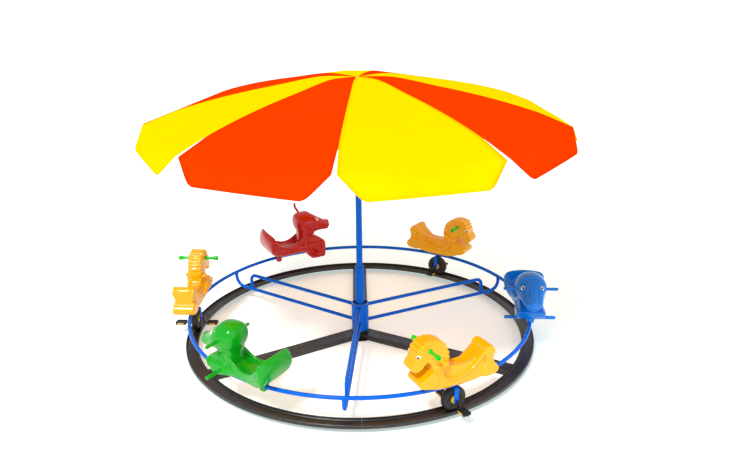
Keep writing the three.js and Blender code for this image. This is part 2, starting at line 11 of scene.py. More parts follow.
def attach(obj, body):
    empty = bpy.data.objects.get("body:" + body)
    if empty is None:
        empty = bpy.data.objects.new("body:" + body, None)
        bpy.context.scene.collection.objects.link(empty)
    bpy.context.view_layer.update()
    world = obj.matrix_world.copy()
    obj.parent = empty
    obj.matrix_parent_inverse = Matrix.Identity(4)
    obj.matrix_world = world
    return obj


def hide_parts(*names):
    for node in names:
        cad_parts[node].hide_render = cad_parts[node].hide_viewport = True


bl_info = {
    "name": "Playground Roundabout",
    "version": (1, 0, 0),
    "blender": (4, 5, 0),
    "location": "View3D > Sidebar > Roundabout",
    "description": "Finished pieces, materials and studio for a playground roundabout",
    "category": "Object",
}

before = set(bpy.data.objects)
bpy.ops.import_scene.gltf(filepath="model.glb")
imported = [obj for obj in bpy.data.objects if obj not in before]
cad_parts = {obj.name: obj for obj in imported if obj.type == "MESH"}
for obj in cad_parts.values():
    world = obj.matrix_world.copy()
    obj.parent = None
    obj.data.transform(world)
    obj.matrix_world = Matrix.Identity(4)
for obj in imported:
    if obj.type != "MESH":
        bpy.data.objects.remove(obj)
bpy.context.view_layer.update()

# Sizes in metres, the same as in the part's source. Heights are counted from the base bars' top
DECK = 0.042
# GAP lies between pieces that meet, AXIS_GAP between a turned profile and its axis, and JOINT, in degrees,
# at both ends of a length of ring or track
GAP = 0.0003
AXIS_GAP = 0.0005
JOINT = 0.01
RING_RADIUS = 1.4
RING_HEIGHT = 0.216
RING_START = -4.8
TUBE_RADIUS = 0.015
TRACK_START = -90
TRACK_OUTER = 1.444
TRACK_INNER = 1.343
TRACK_HEIGHT = 0.027
TRACK_WALL = 0.006
TRACK_FLOOR = 0.007
BAR_WIDTH = 0.13
BAR_AZIMUTHS = (-150, -30, 90)
BAR_REACH = 1.4
FOOT_RADIUS = 0.075
PLATE_RADIUS = 0.125
PLATE_THICK = 0.006
SLEEVE_RADIUS = 0.0705
SLEEVE_BORE = 0.0615
SLEEVE_BOTTOM = 0.02
SLEEVE_TOP = 0.266
POLE_RADIUS = 0.038
POLE_FOOT = 0.056
POLE_STEP = 0.588
MAST_RADIUS = 0.0255
MAST_TOP = 2.128
LOWER_TUBE = 0.091
LOWER_BEND = 0.09
UPPER_TUBE = 0.232
UPPER_POST = 1.214
UPPER_BEND = 0.05
FRAME_AZIMUTHS = (25.2, 145.2, 265.2)
WHEEL_RADIUS = 0.094
WHEEL_CIRCLE = 1.392
WHEEL_HALF = 0.029
TYRE_BORE = 0.031
AXLE_HEIGHT = 0.1013
LEG_OFFSET = 0.04
LEG_THICK = 0.005
LEG_WIDTH = 0.036
CRANK_OFFSET = 0.066
CRANK_LENGTH = 0.038
PEDAL_OFFSET = 0.133
PEDAL_WIDTH = 0.086
PEDAL_LENGTH = 0.064
PEDAL_THICK = 0.022
CANOPY_PANELS = 9
CANOPY_FIRST = 265.03
CANOPY_CLOTH = 0.0016
CANOPY_PROFILE = (
    (0.03, 2.134),
    (0.28, 2.14),
    (0.595, 2.086),
    (0.818, 2.046),
    (1.078, 1.99),
    (1.34, 1.92),
    (1.5, 1.863),
    (1.6116, 1.8205),
)
SLIT_START = 1.34
SLIT_HALF = 0.0166
# The hanging flap: the share of its side, the middle's distance and height, and the half width
FLAP_ROWS = (
    (0.3, 1.577, 1.787, 0.496),
    (0.55, 1.609, 1.761, 0.463),
    (0.75, 1.617, 1.724, 0.436),
    (0.9, 1.618, 1.694, 0.41),
    (1.0, 1.617, 1.669, 0.376),
)
FLAP_CORNER = (1.615, 1.6706)
PANEL_IS_ORANGE = (False, True, False, True, False, False, True, False, True)
LIONS = {"front": -63.95, "back": 55.25, "left": 175.85}
WHEEL_LEAD = 1.2
DOGS = {"blue": -4.8, "red": 118.6, "green": 235.2}
DOG_RADIUS = 1.38

# Outlines of the lion seat, in millimetres (forward, up)
LION_BODY = (
    (-268, 300), (-290, 360), (-294, 440), (-286, 472), (-262, 488), (-228, 464), (-185, 432),
    (-140, 402), (-60, 390), (10, 394), (46, 408), (60, 436), (130, 446), (176, 430), (192, 402),
    (256, 362), (286, 342), (282, 314), (240, 290), (150, 254), (60, 234), (-60, 230), (-150, 244),
    (-210, 264),
)
LION_SADDLE = (
    (-289, 440), (-292, 470), (-264, 490), (-226, 466), (-185, 434), (-140, 405), (-60, 393), (10, 396),
    (44, 408), (62, 442), (84, 464), (108, 465), (126, 446), (134, 404), (120, 359), (88, 327), (40, 309),
    (-32, 316), (-96, 337), (-159, 382), (-206, 431), (-240, 452), (-262, 446),
)
LION_PANEL = (
    (-212, 520), (-198, 444), (-151, 393), (-92, 349), (-32, 328), (38, 321), (80, 337), (107, 363),
    (118, 398), (112, 428), (80, 440), (52, 520),
)
LION_HEAD = (
    (64, 412), (50, 440), (52, 485), (60, 525), (82, 575), (112, 602), (157, 622), (205, 630), (250, 621),
    (284, 594), (302, 562), (311, 534), (314, 510), (328, 495), (340, 476), (346, 454), (330, 431),
    (300, 421), (264, 436), (240, 462), (216, 474), (194, 450), (180, 420), (120, 405),
)
LION_FRONT_PAW = (
    (150, 345), (156, 378), (174, 402), (194, 406), (216, 394), (258, 370), (286, 354), (296, 334),
    (286, 310), (260, 296), (230, 288), (196, 284), (166, 300),
)
LION_REAR_PAW = (
    (-338, 292), (-334, 322), (-306, 352), (-262, 370), (-224, 358), (-204, 328), (-200, 290),
    (-214, 266), (-250, 258), (-306, 268),
)
LION_BACK_REST = (
    (-296, 340), (-300, 420), (-297, 470), (-266, 494), (-236, 488), (-218, 466), (-226, 420),
    (-246, 350),
)
# The outlines with their half widths in metres
SADDLE_HALF = 0.088
LION_HEAD_HALF = 0.058
LION_PARTS = (
    (LION_BODY, 0.073),
    (LION_SADDLE, SADDLE_HALF),
    (LION_BACK_REST, 0.092),
    (LION_HEAD, LION_HEAD_HALF),
    (LION_FRONT_PAW, 0.088),
    (LION_REAR_PAW, 0.088),
)
MANE_MIDDLE = (178, 520)
MANE_SPAN = (-32, 160)
MANE_FLUTES = 11
MANE_SAG = 5.0
LION_HANDLE = (0.206, 0.56, 0.169)
LION_EYE = (0.293, 0.539)
# The parts of an eye: how far each lies forward and up, its radii, and how deep it sits in the skin
LION_EYE_PARTS = {
    "white": (0, 0, (0.0165, 0.0095, 0.004), 0),
    "pupil": (0.005, -0.0035, (0.0098, 0.0082, 0.0042), -0.0012),
}

# Sections of the dog seat, in millimetres: forward, up, pitch, half width, half thickness
DOG_BODY = (
    (-243, 482, -108, 118, 8),
    (-245, 479, -107, 137, 10),
    (-249, 471, -104, 152, 13),
    (-254, 457, -101, 162, 16),
    (-260, 437, -97, 168, 19),
    (-258, 390, -76, 167, 26),
    (-232, 335, -52, 162, 36),
    (-185, 302, -28, 144, 44),
    (-120, 290, -6, 118, 46),
    (-30, 291, 2, 105, 46),
    (60, 296, 4, 104, 52),
    (150, 290, 0, 106, 64),
)
DOG_NECK = (
    (118, 290, 90, 100, 86),
    (134, 350, 90, 98, 82),
    (146, 410, 88, 101, 82),
    (152, 455, 88, 110, 95),
    (158, 505, 88, 119, 113),
)
DOG_HOOD = (
    (36, 545, 0, 20, 20),
    (42, 544, 0, 62, 54),
    (60, 538, 0, 95, 84),
    (90, 530, 0, 115, 101),
    (130, 526, 0, 123, 109),
    (165, 524, 0, 124, 111),
    (188, 522, 0, 122, 109),
)
DOG_FACE = (
    (150, 522, 0, 113, 98),
    (191, 520, 0, 114, 99),
    (238, 502, -10, 104, 84),
    (284, 487, -16, 90, 66),
    (322, 476, -16, 82, 55),
    (354, 467, -16, 76, 48),
    (380, 461, -14, 66, 42),
    (393, 459, -14, 42, 28),
)
# The raised rim of the saddle, with the distance from the middle as a sixth value
DOG_RIM = (
    (-252, 468, -84, 8, 6, 148),
    (-240, 436, -66, 12, 15, 144),
    (-212, 396, -50, 13, 22, 140),
    (-165, 352, -34, 13, 24, 126),
    (-110, 327, -17, 13, 23, 108),
    (-52, 318, 0, 13, 22, 96),
    (0, 326, 16, 13, 23, 90),
    (44, 348, 34, 13, 22, 86),
    (84, 382, 44, 12, 18, 82),
    (118, 418, 48, 10, 12, 78),
)
DOG_CHEST = ((110, 262), (252, 262), (300, 334), (296, 350), (236, 392), (150, 404))
DEEP_CHEST = (
    (110, 262), (150, 204), (176, 180), (290, 178), (312, 196), (316, 262), (314, 330), (296, 356),
    (236, 396), (150, 404),
)
DOG_CHEST_HALF = 0.114
# How far each dog's head is lowered, in metres, and nods forward, in degrees
HEAD_POSE = {"blue": (0.032, 1.0), "red": (-0.004, -1.0), "green": (0.007, 5.0)}
HEAD_PIVOT = (0.15, 0.0, 0.522)
# How far each dog's back-rest is raised, in metres, and how steeply it rises to the left
BACK_REST_FIT = {"blue": (-0.01, 0.0), "red": (0.016, 0.05), "green": (0.0, 0.0)}
DOG_BAR = 0.0125
FOOTREST_BAR = 0.0142
DOG_HANDLE = (0.168, 0.521, 0.216)
DOG_FOOTREST = (0.204, 0.256, 0.203)
LEANING_GRIP = (
    (0.138, -0.14, 0.47),
    (0.13, -0.04, 0.548),
    (0.112, 0.06, 0.618),
    (0.106, 0.116, 0.65),
    (0.108, 0.14, 0.67),
    (0.111, 0.149, 0.69),
)
DOG_EYE = (0.247, 0.563)
DOG_EYE_PARTS = {
    "white": (0, 0, (0.0185, 0.0185, 0.013), 0.006),
    "pupil": (0.003, 0, (0.0102, 0.0102, 0.006), -0.0025),
}
DOG_NOSE = (0.384, 0.49)
DOG_MOUTH = 0.443

# The camera that was fitted to the photograph
CAMERA_PLACE = (0.0, -5.841, 3.061)
CAMERA_PITCH = 20.47
CAMERA_YAW = 1.066
CAMERA_ROLL = -0.4526
CAMERA_LENS = 37.13


def linear(red, green, blue):
    """A colour given as 0 to 255 in sRGB, as linear light."""
    values = []
    for part in (red, green, blue):
        share = part / 255
        values.append(share / 12.92 if share <= 0.04045 else ((share + 0.055) / 1.055) ** 2.4)
    return tuple(values)


def colour(name, text, red, green, blue):
    """A colour property for the panel."""
    return bpy.props.FloatVectorProperty(
        name=name, description=text, subtype="COLOR", size=3, min=0, max=1, default=linear(red, green, blue)
    )


def length(name, text, default):
    """A length property for the panel."""
    return bpy.props.FloatProperty(
        name=name, description=text, subtype="DISTANCE", unit="LENGTH", min=0, precision=4, default=default
    )


class RoundaboutColours(bpy.types.PropertyGroup):
    """Colours of the finishes."""

    canopy_yellow: colour("Canopy yellow", "Cloth of the yellow panels", 255, 204, 0)
    canopy_orange: colour("Canopy orange", "Cloth of the orange panels", 255, 56, 0)
    blue_paint: colour("Blue paint", "Paint of the tubes, pole, hub and forks", 0, 98, 218)
    track_paint: colour("Black paint", "Paint of the track and base bars", 36, 35, 34)
    lion_plastic: colour("Lion plastic", "Moulded plastic of the lion seats", 240, 173, 2)
    handle_plastic: colour("Handle plastic", "Plastic of the lions' handlebars", 6, 200, 40)
    dog_blue: colour("Blue dog", "Moulded plastic of the blue dog seat", 4, 116, 214)
    dog_red: colour("Red dog", "Moulded plastic of the red dog seat", 188, 28, 22)
    dog_green: colour("Green dog", "Moulded plastic of the green dog seat", 4, 158, 22)
    tyre_rubber: colour("Tyre", "Rubber of the wheels", 26, 26, 25)
    hub_yellow: colour("Wheel centre", "Plastic of the wheel centres and pedal reflectors", 240, 190, 30)
    pedal_black: colour("Pedals", "Plastic of the pedals", 22, 22, 23)
    bare_steel: colour("Bare steel", "Zinc plated steel", 165, 162, 155)


class RoundaboutSizes(bpy.types.PropertyGroup):
    """Sizes of the details that the solids leave out."""

    paw_round: length("Seat edge", "Rounding of the moulded seats' edges", 0.01)
    scallop: length("Mane scallop", "Height of the scallops round the mane", 0.009)
    seat_voxel: length("Seat skin", "Fineness of the moulded seats' skin", 0.0042)
    hem_width: length("Hem width", "Width of the doubled cloth along each edge", 0.024)
    weld_bead: length("Weld bead", "Height of the weld beads on the tubes", 0.0035)
    knob_radius: length("Knob radius", "Radius of the knobs on the lions' handlebars", 0.019)


def colours():
    return bpy.context.scene.roundabout_colours


def sizes():
    return bpy.context.scene.roundabout_sizes


# Curves and outlines
def smooth_line(rows, steps, closed=False):
    """Points on a smooth curve through the rows, with that many steps to each span."""
    count = len(rows)
    result = []
    for i in range(count if closed else count - 1):
        picks = (i - 1, i, i + 1, i + 2)
        near = [rows[k % count if closed else min(max(k, 0), count - 1)] for k in picks]
        for step in range(steps):
            t = step / steps
            point = []
            for a, b, c, d in zip(*near):
                bend = (2 * a - 5 * b + 4 * c - d) * t * t + (3 * b - a - 3 * c + d) * t**3
                point.append(0.5 * (2 * b + (c - a) * t + bend))
            result.append(tuple(point))
    if not closed:
        result.append(tuple(rows[-1]))
    return result


def millimetres(points):
    """Points in millimetres as points in metres."""
    return [tuple(value / 1000 for value in point) for point in points]


def toward(a, b, share):
    """The point that lies a share of the way from a to b."""
    return tuple(x + (y - x) * share for x, y in zip(a, b))


def step_up(value, low, high):
    """0 below low, 1 above high and smooth between."""
    t = min(max((value - low) / (high - low), 0.0), 1.0)
    return t * t * (3 - 2 * t)


def inside(x, z, outline):
    """Whether (x, z) lies in the closed outline."""
    odd = False
    for (ax, az), (bx, bz) in zip(outline, outline[1:] + outline[:1]):
        if (az > z) != (bz > z) and x < (bx - ax) * (z - az) / (bz - az) + ax:
            odd = not odd
    return odd


def gap_to(x, z, line):
    """Distance from (x, z) to an open line."""
    best = 1e9
    for (ax, az), (bx, bz) in zip(line, line[1:]):
        dx = bx - ax
        dz = bz - az
        t = ((x - ax) * dx + (z - az) * dz) / max(dx * dx + dz * dz, 1e-12)
        t = min(max(t, 0.0), 1.0)
        best = min(best, math.hypot(x - ax - t * dx, z - az - t * dz))
    return best


def ring_place(azimuth, radius=RING_RADIUS):
    """The seat frame: X forward along the ring, Y outward, Z up."""
    angle = math.radians(azimuth)
    out = Matrix.Translation((radius * math.cos(angle), radius * math.sin(angle), 0))
    return out @ Matrix.Rotation(math.radians(azimuth - 90), 4, "Z")


def turned(azimuth):
    return Matrix.Rotation(math.radians(azimuth), 4, "Z")


# Mesh tools
def outward(bm):
    bmesh.ops.remove_doubles(bm, verts=bm.verts, dist=1e-6)
    bmesh.ops.recalc_face_normals(bm, faces=bm.faces)


def round_edges(bm, offset, segments=2, sharper_than=30, edges=None, clamped=True):
    """Bevels the given edges, or every edge that turns by more than the given angle."""
    limit = math.radians(sharper_than)
    if edges is None:
        edges = [edge for edge in bm.edges if edge.is_manifold and edge.calc_face_angle(0) > limit]
    bmesh.ops.bevel(
        bm,
        geom=edges,
        offset=offset,
        offset_type="OFFSET",
        affect="EDGES",
        segments=segments,
        profile=0.5,
        material=-1,
        clamp_overlap=clamped,
    )


def pulled(bm, face, offset):
    """The face extruded by the offset; gives the new end face."""
    result = bmesh.ops.extrude_face_region(bm, geom=[face])
    verts = [item for item in result["geom"] if isinstance(item, bmesh.types.BMVert)]
    bmesh.ops.translate(bm, verts=verts, vec=offset)
    return next(item for item in result["geom"] if isinstance(item, bmesh.types.BMFace))


def prism(points, offset):
    """A new bmesh with a closed line of points extruded by the offset."""
    bm = bmesh.new()
    pulled(bm, bm.faces.new([bm.verts.new(point) for point in points]), offset)
    bmesh.ops.recalc_face_normals(bm, faces=bm.faces)
    return bm


def revolve(profile, segments, angle=360, start=0):
    """A new bmesh of a profile of (radius, height) points spun about Z. A full turn closes on itself."""
    bm = bmesh.new()
    turn = turned(start)
    verts = [bm.verts.new(turn @ Vector((radius, 0, height))) for radius, height in profile]
    edges = [bm.edges.new(pair) for pair in zip(verts, verts[1:] + verts[:1])]
    full = angle == 360
    geom = verts + edges
    if not full:
        geom.append(bm.faces.new(verts))
    bmesh.ops.spin(
        bm,
        geom=geom,
        cent=(0, 0, 0),
        axis=(0, 0, 1),
        angle=math.radians(angle),
        steps=segments,
        use_merge=full,
        use_duplicate=False,
    )
    outward(bm)
    return bm


def slab(bm, outline, half, bevel, steps=4):
    """A side elevation in (forward, up) extruded across to the given half width, with rounded rims."""
    points = [(x, -half, z) for x, z in smooth_line(outline, steps, closed=True)]
    part = prism(points, (0, 2 * half, 0))
    rims = [edge for edge in part.edges if abs(abs(edge.verts[0].co.y) - half) < 1e-6]
    rims = [edge for edge in rims if abs(edge.verts[0].co.y - edge.verts[1].co.y) < 1e-6]
    round_edges(part, bevel, 3, edges=rims, clamped=False)
    merge_into(bm, part)


def merge_into(bm, part, matrix=None):
    """Adds one bmesh to another, put in place by the matrix."""
    mesh = bpy.data.meshes.new("part")
    if matrix is not None:
        bmesh.ops.transform(part, matrix=matrix, verts=part.verts)
    part.to_mesh(mesh)
    part.free()
    bm.from_mesh(mesh)
    bpy.data.meshes.remove(mesh)


def loft(bm, sections, steps=5, sides=40, squareness=2.6):
    """A body through sections of (forward, up, pitch, half width, half thickness and a shift aside)."""
    part = bmesh.new()
    rows = smooth_line(sections, steps)
    circle = bmesh.ops.create_circle(part, cap_ends=True, radius=1, segments=sides)
    top = circle["verts"][0].link_faces[0]
    for _ in rows[1:]:
        top = pulled(part, top, (0, 0, 1))
    power = 2 / squareness
    for vert in part.verts:
        row = rows[round(vert.co.z)]
        forward, up, pitch, half_width, half_thick, *aside = row
        angle = math.atan2(vert.co.y, vert.co.x)
        across = math.copysign(abs(math.cos(angle)) ** power, math.cos(angle)) * half_width
        down = math.copysign(abs(math.sin(angle)) ** power, math.sin(angle)) * half_thick
        lean = math.radians(pitch)
        vert.co = (forward + down * math.sin(lean), sum(aside) + across, up - down * math.cos(lean))
    bmesh.ops.recalc_face_normals(part, faces=part.faces)
    merge_into(bm, part)


def upright_to(direction):
    """The turn that lays Z along a direction."""
    return Vector((0, 0, 1)).rotation_difference(Vector(direction)).to_matrix().to_4x4()


def tube(bm, points, radius, sides=20):
    """A round rod with rounded ends through the points."""
    part = bmesh.new()
    start = Vector(points[0])
    heading = (Vector(points[1]) - start).normalized()
    matrix = Matrix.Translation(start) @ upright_to(heading)
    bmesh.ops.create_circle(part, cap_ends=True, radius=radius, segments=sides, matrix=matrix)
    part.faces.ensure_lookup_table()
    end = part.faces[0]
    for a, b in zip(points, points[1:]):
        end = pulled(part, end, Vector(b) - Vector(a))
    bmesh.ops.recalc_face_normals(part, faces=part.faces)
    round_edges(part, radius * 0.55, segments=4, sharper_than=60)
    merge_into(bm, part)


def ball(bm, place, radii, turn=None):
    matrix = Matrix.Translation(place) @ (turn or Matrix.Identity(4)) @ Matrix.Diagonal((*radii, 1))
    bmesh.ops.create_icosphere(bm, subdivisions=3, radius=1, matrix=matrix)


def brick(bm, dimensions, place, bevel, segments=2, turn=None):
    """A block with rounded edges about a place."""
    part = bmesh.new()
    matrix = Matrix.Translation(place) @ Matrix.Diagonal((*dimensions, 1))
    bmesh.ops.create_cube(part, size=1, matrix=matrix)
    round_edges(part, bevel, segments)
    merge_into(bm, part, turn)


def fused(bm, voxel, passes):
    """The overlapping parts of bm as one skin with softened edges."""
    mesh = bpy.data.meshes.new("fusing")
    bm.to_mesh(mesh)
    bm.free()
    holder = bpy.data.objects.new("fusing", mesh)
    bpy.context.scene.collection.objects.link(holder)
    skin = holder.modifiers.new("skin", "REMESH")
    skin.mode = "VOXEL"
    skin.voxel_size = voxel
    smooth = holder.modifiers.new("smooth", "SMOOTH")
    smooth.factor = 0.5
    smooth.iterations = passes
    result = bmesh.new()
    result.from_object(holder, bpy.context.evaluated_depsgraph_get())
    bpy.data.objects.remove(holder)
    bpy.data.meshes.remove(mesh)
    return result


def finish_mesh(name, bm, matrix=None, smooth_angle=35):
    """The bmesh as a mesh, in place, with smooth faces and sharp edges kept sharp."""
    if matrix is not None:
        bmesh.ops.transform(bm, matrix=matrix, verts=bm.verts)
    for face in bm.faces:
        face.smooth = True
    mesh = bpy.data.meshes.new(name)
    bm.to_mesh(mesh)
    bm.free()
    mesh.set_sharp_from_angle(angle=math.radians(smooth_angle))
    return mesh


def piece(name, mesh, body, material, stands_for=()):
    """A finished piece on its body, lifted onto the deck, in place of the CAD nodes that it stands for."""
    mesh.transform(Matrix.Translation((0, 0, DECK)))
    obj = bpy.data.objects.new(name, mesh)
    bpy.context.scene.collection.objects.link(obj)
    mesh.materials.clear()
    mesh.materials.append(material)
    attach(obj, body)
    if stands_for:
        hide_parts(*stands_for)
    return obj


# Shader groups
def new_group(name, inputs, outputs):
    """An empty shader group with its sockets. A default of four numbers is a colour, one is a value."""
    tree = bpy.data.node_groups.new(name, "ShaderNodeTree")
    for label, default in inputs.items():
        kind = "NodeSocketColor" if isinstance(default, tuple) else "NodeSocketFloat"
        tree.interface.new_socket(name=label, in_out="INPUT", socket_type=kind).default_value = default
    for label in outputs:
        kind = "NodeSocketColor" if label == "Colour" else "NodeSocketFloat"
        tree.interface.new_socket(name=label, in_out="OUTPUT", socket_type=kind)
    return tree, shader(tree, "NodeGroupInput").outputs, shader(tree, "NodeGroupOutput").inputs


def shader(tree, kind, **values):
    """A new node, to the right of the others."""
    item = tree.nodes.new(kind)
    item.location = (len(tree.nodes) * 180, 0)
    for name, value in values.items():
        setattr(item, name, value)
    return item


def feed(socket, value):
    """Sets a socket to a number or colour, or links it to another socket."""
    if isinstance(value, (int, float, tuple)):
        socket.default_value = value
    else:
        socket.id_data.links.new(value, socket)


def feed_all(sockets, values):
    """Feeds sockets by their labels."""
    for label, value in values.items():
        feed(sockets[label], value)


def maths(operation, a, b=0.0):
    """A Math node fed by a socket, and by another or a number."""
    item = shader(a.id_data, "ShaderNodeMath", operation=operation)
    feed(item.inputs[0], a)
    feed(item.inputs[1], b)
    return item.outputs[0]


def mapped(value, low, high, to_low=0.0, to_high=1.0):
    """A value socket mapped smoothly from one range to another."""
    item = shader(value.id_data, "ShaderNodeMapRange", interpolation_type="SMOOTHSTEP")
    for socket, given in zip(item.inputs, (value, low, high, to_low, to_high)):
        feed(socket, given)
    return item.outputs["Result"]


def blended(factor, first, second):
    """A colour Mix node fed by a factor socket and by sockets or colours."""
    item = shader(factor.id_data, "ShaderNodeMix", data_type="RGBA")
    for index, value in ((0, factor), (6, first), (7, second)):
        feed(item.inputs[index], value)
    return item.outputs[2]


def noise(vector, scale, detail):
    item = shader(vector.id_data, "ShaderNodeTexNoise")
    feed_all(item.inputs, {"Vector": vector, "Scale": scale, "Detail": detail})
    return item.outputs[0]


def split(vector):
    """The X, Y and Z of a vector socket."""
    item = shader(vector.id_data, "ShaderNodeSeparateXYZ")
    feed(item.inputs[0], vector)
    return item.outputs


def moulding_group():
    """Colour drift, gloss drift and the fine grain of moulded plastic or paint."""
    inputs = {
        "Colour": (0.8, 0.8, 0.8, 1),
        "Shade": (0.4, 0.4, 0.4, 1),
        "Drift": 0.25,
        "Drift Scale": 5.0,
        "Grain Scale": 900.0,
        "Gloss Low": 0.22,
        "Gloss High": 0.34,
    }
    tree, given, wanted = new_group("moulded surface", inputs, ("Colour", "Roughness", "Height"))
    place = shader(tree, "ShaderNodeTexCoord").outputs["Object"]
    cloudy = mapped(noise(place, given["Drift Scale"], 4), 0.35, 0.7)
    share = maths("MULTIPLY", cloudy, given["Drift"])
    feed(wanted["Colour"], blended(share, given["Colour"], given["Shade"]))
    patches = noise(place, 23.0, 5)
    feed(wanted["Roughness"], mapped(patches, 0.3, 0.75, given["Gloss Low"], given["Gloss High"]))
    feed(wanted["Height"], noise(place, given["Grain Scale"], 2))
    return tree


def scuff_group():
    """Rubbed marks and dust that lie low on the object."""
    inputs = {
        "Colour": (0.8, 0.8, 0.8, 1),
        "Mark": (0.5, 0.48, 0.45, 1),
        "Scuffs": 0.3,
        "Dust": 0.3,
        "Dust Height": 0.1,
    }
    tree, given, wanted = new_group("scuffs and dust", inputs, ("Colour", "Mask"))
    place = shader(tree, "ShaderNodeTexCoord").outputs["Object"]
    long_way = shader(tree, "ShaderNodeMapping")
    long_way.inputs["Scale"].default_value = (14, 60, 60)
    feed(long_way.inputs["Vector"], place)
    streaks = noise(long_way.outputs[0], 1.0, 6)
    rubbed = maths("MULTIPLY", mapped(streaks, 0.6, 0.72), given["Scuffs"])
    low = maths("DIVIDE", split(place)["Z"], given["Dust Height"])
    cloudy = mapped(noise(place, 31.0, 6), 0.35, 0.7, 0.2, 1.0)
    settled = maths("MULTIPLY", mapped(low, 0.0, 1.0, 1.0, 0.0), cloudy)
    mask = maths("MAXIMUM", rubbed, maths("MULTIPLY", settled, given["Dust"]))
    feed(wanted["Mask"], mask)
    feed(wanted["Colour"], blended(mask, given["Colour"], given["Mark"]))
    return tree


def cloth_group():
    """Woven cloth with hems and stitches, from the cloth's own UV maps in metres."""
    inputs = {"Colour": (0.8, 0.8, 0.8, 1), "Thread": (0.5, 0.5, 0.5, 1), "Hem": 0.024, "Weave Pitch": 0.0016}
    tree, given, wanted = new_group("sewn cloth", inputs, ("Colour", "Roughness", "Height"))
    flat = shader(tree, "ShaderNodeUVMap", uv_map="cloth").outputs[0]
    edge = split(shader(tree, "ShaderNodeUVMap", uv_map="hem").outputs[0])
    flat_xy = split(flat)
    waves = []
    for axis in "XY":
        turns = maths("MULTIPLY", maths("DIVIDE", flat_xy[axis], given["Weave Pitch"]), math.tau)
        waves.append(maths("SINE", turns))
    weave = maths("MULTIPLY", *waves)
    hem = mapped(edge["Y"], given["Hem"], maths("ADD", given["Hem"], 0.0012), 1.0, 0.0)
    beside = maths("SUBTRACT", edge["Y"], maths("MULTIPLY", given["Hem"], 0.8))
    row = mapped(maths("ABSOLUTE", beside), 0.0007, 0.0013, 1.0, 0.0)
    along = maths("FRACT", maths("DIVIDE", edge["X"], 0.0055))
    stitch = maths("MULTIPLY", row, mapped(along, 0.62, 0.7, 1.0, 0.0))
    shade = given["Colour"]
    drift = mapped(noise(flat, 4.0, 4), 0.3, 0.75, 0.0, 0.14)
    for share in (drift, maths("MULTIPLY", hem, 0.12), maths("MULTIPLY", stitch, 0.75)):
        shade = blended(share, shade, given["Thread"])
    feed(wanted["Colour"], shade)
    feed(wanted["Roughness"], mapped(weave, -1.0, 1.0, 0.72, 0.6))
    height = maths("ADD", maths("MULTIPLY", weave, 0.08), maths("MULTIPLY", hem, 0.5))
    feed(wanted["Height"], maths("SUBTRACT", height, maths("MULTIPLY", stitch, 0.35)))
    return tree


def four(value, strength=1.0):
    """A colour with full alpha, made darker by the strength."""
    return tuple(part * strength for part in value) + (1.0,)


def place_group(tree, name, maker, values):
    """A node for the named group, which is built the first time, with its own values."""
    item = shader(tree, "ShaderNodeGroup", node_tree=bpy.data.node_groups.get(name) or maker())
    feed_all(item.inputs, values)
    return item.outputs


def start_material(name):
    """A new material, its node tree and the inputs of its surface shader."""
    material = bpy.data.materials.new(name)
    material.use_nodes = True
    surface = next(node for node in material.node_tree.nodes if node.type == "BSDF_PRINCIPLED")
    return material, material.node_tree, surface.inputs


def bumped(surface, height, strength, distance):
    """Puts a height on a surface as a bump."""
    bump = shader(height.id_data, "ShaderNodeBump")
    feed_all(bump.inputs, {"Strength": strength, "Distance": distance, "Height": height})
    feed(surface["Normal"], bump.outputs[0])


def coated(
    name, base, shade, gloss, drift=0.3, grain=900.0, bump=0.15, marks=None, metal=0.0, coat=0.0, mirror=0.5
):
    """Moulded plastic, paint, rubber or plated steel, with its own drift, grain and marks."""
    found = bpy.data.materials.get(name)
    if found:
        return found
    material, tree, surface = start_material(name)
    values = {
        "Colour": four(base),
        "Shade": shade,
        "Drift": drift,
        "Grain Scale": grain,
        "Gloss Low": gloss[0],
        "Gloss High": gloss[1],
    }
    skin = place_group(tree, "moulded surface", moulding_group, values)
    tint = skin["Colour"]
    if marks:
        tint = place_group(tree, "scuffs and dust", scuff_group, {"Colour": tint, **marks})["Colour"]
    settings = {
        "Base Color": tint,
        "Roughness": skin["Roughness"],
        "Metallic": metal,
        "Specular IOR Level": mirror,
        "Coat Weight": coat,
        "Coat Roughness": 0.08,
    }
    feed_all(surface, settings)
    bumped(surface, skin["Height"], bump, 0.0004)
    return material


def plastic(name, base):
    marks = {"Mark": four(base, 0.8), "Scuffs": 0.03, "Dust": 0.0}
    shade = four(base, 0.88)
    return coated(name, base, shade, (0.16, 0.22), 0.1, 700.0, 0.05, marks, coat=0.15, mirror=0.3)


def blue_paint():
    base = tuple(colours().blue_paint)
    marks = {"Mark": four(base, 0.7), "Scuffs": 0.12, "Dust": 0.0}
    shade = four(base, 0.85)
    return coated("blue paint", base, shade, (0.24, 0.34), 0.12, marks=marks, coat=0.05, mirror=0.1)


def black_paint():
    marks = {"Mark": four(linear(86, 78, 70)), "Scuffs": 0.35, "Dust": 0.25, "Dust Height": 0.03}
    base = tuple(colours().track_paint)
    shade = four(linear(24, 22, 20))
    return coated("black paint", base, shade, (0.3, 0.46), grain=500.0, bump=0.25, marks=marks)


def bare_steel():
    base = tuple(colours().bare_steel)
    marks = {"Mark": four(base, 0.55), "Scuffs": 0.3, "Dust": 0.0}
    return coated("bare steel", base, four(base, 0.7), (0.3, 0.48), marks=marks, metal=0.9)


def cloth(name, base):
    """Woven cloth of one colour."""
    material, tree, surface = start_material(name)
    values = {"Colour": four(base), "Thread": four(base, 0.72), "Hem": sizes().hem_width}
    weave = place_group(tree, "sewn cloth", cloth_group, values)
    settings = {"Base Color": weave["Colour"], "Roughness": weave["Roughness"], "Specular IOR Level": 0.0}
    feed_all(surface, settings)
    bumped(surface, weave["Height"], 0.5, 0.0008)
    return material


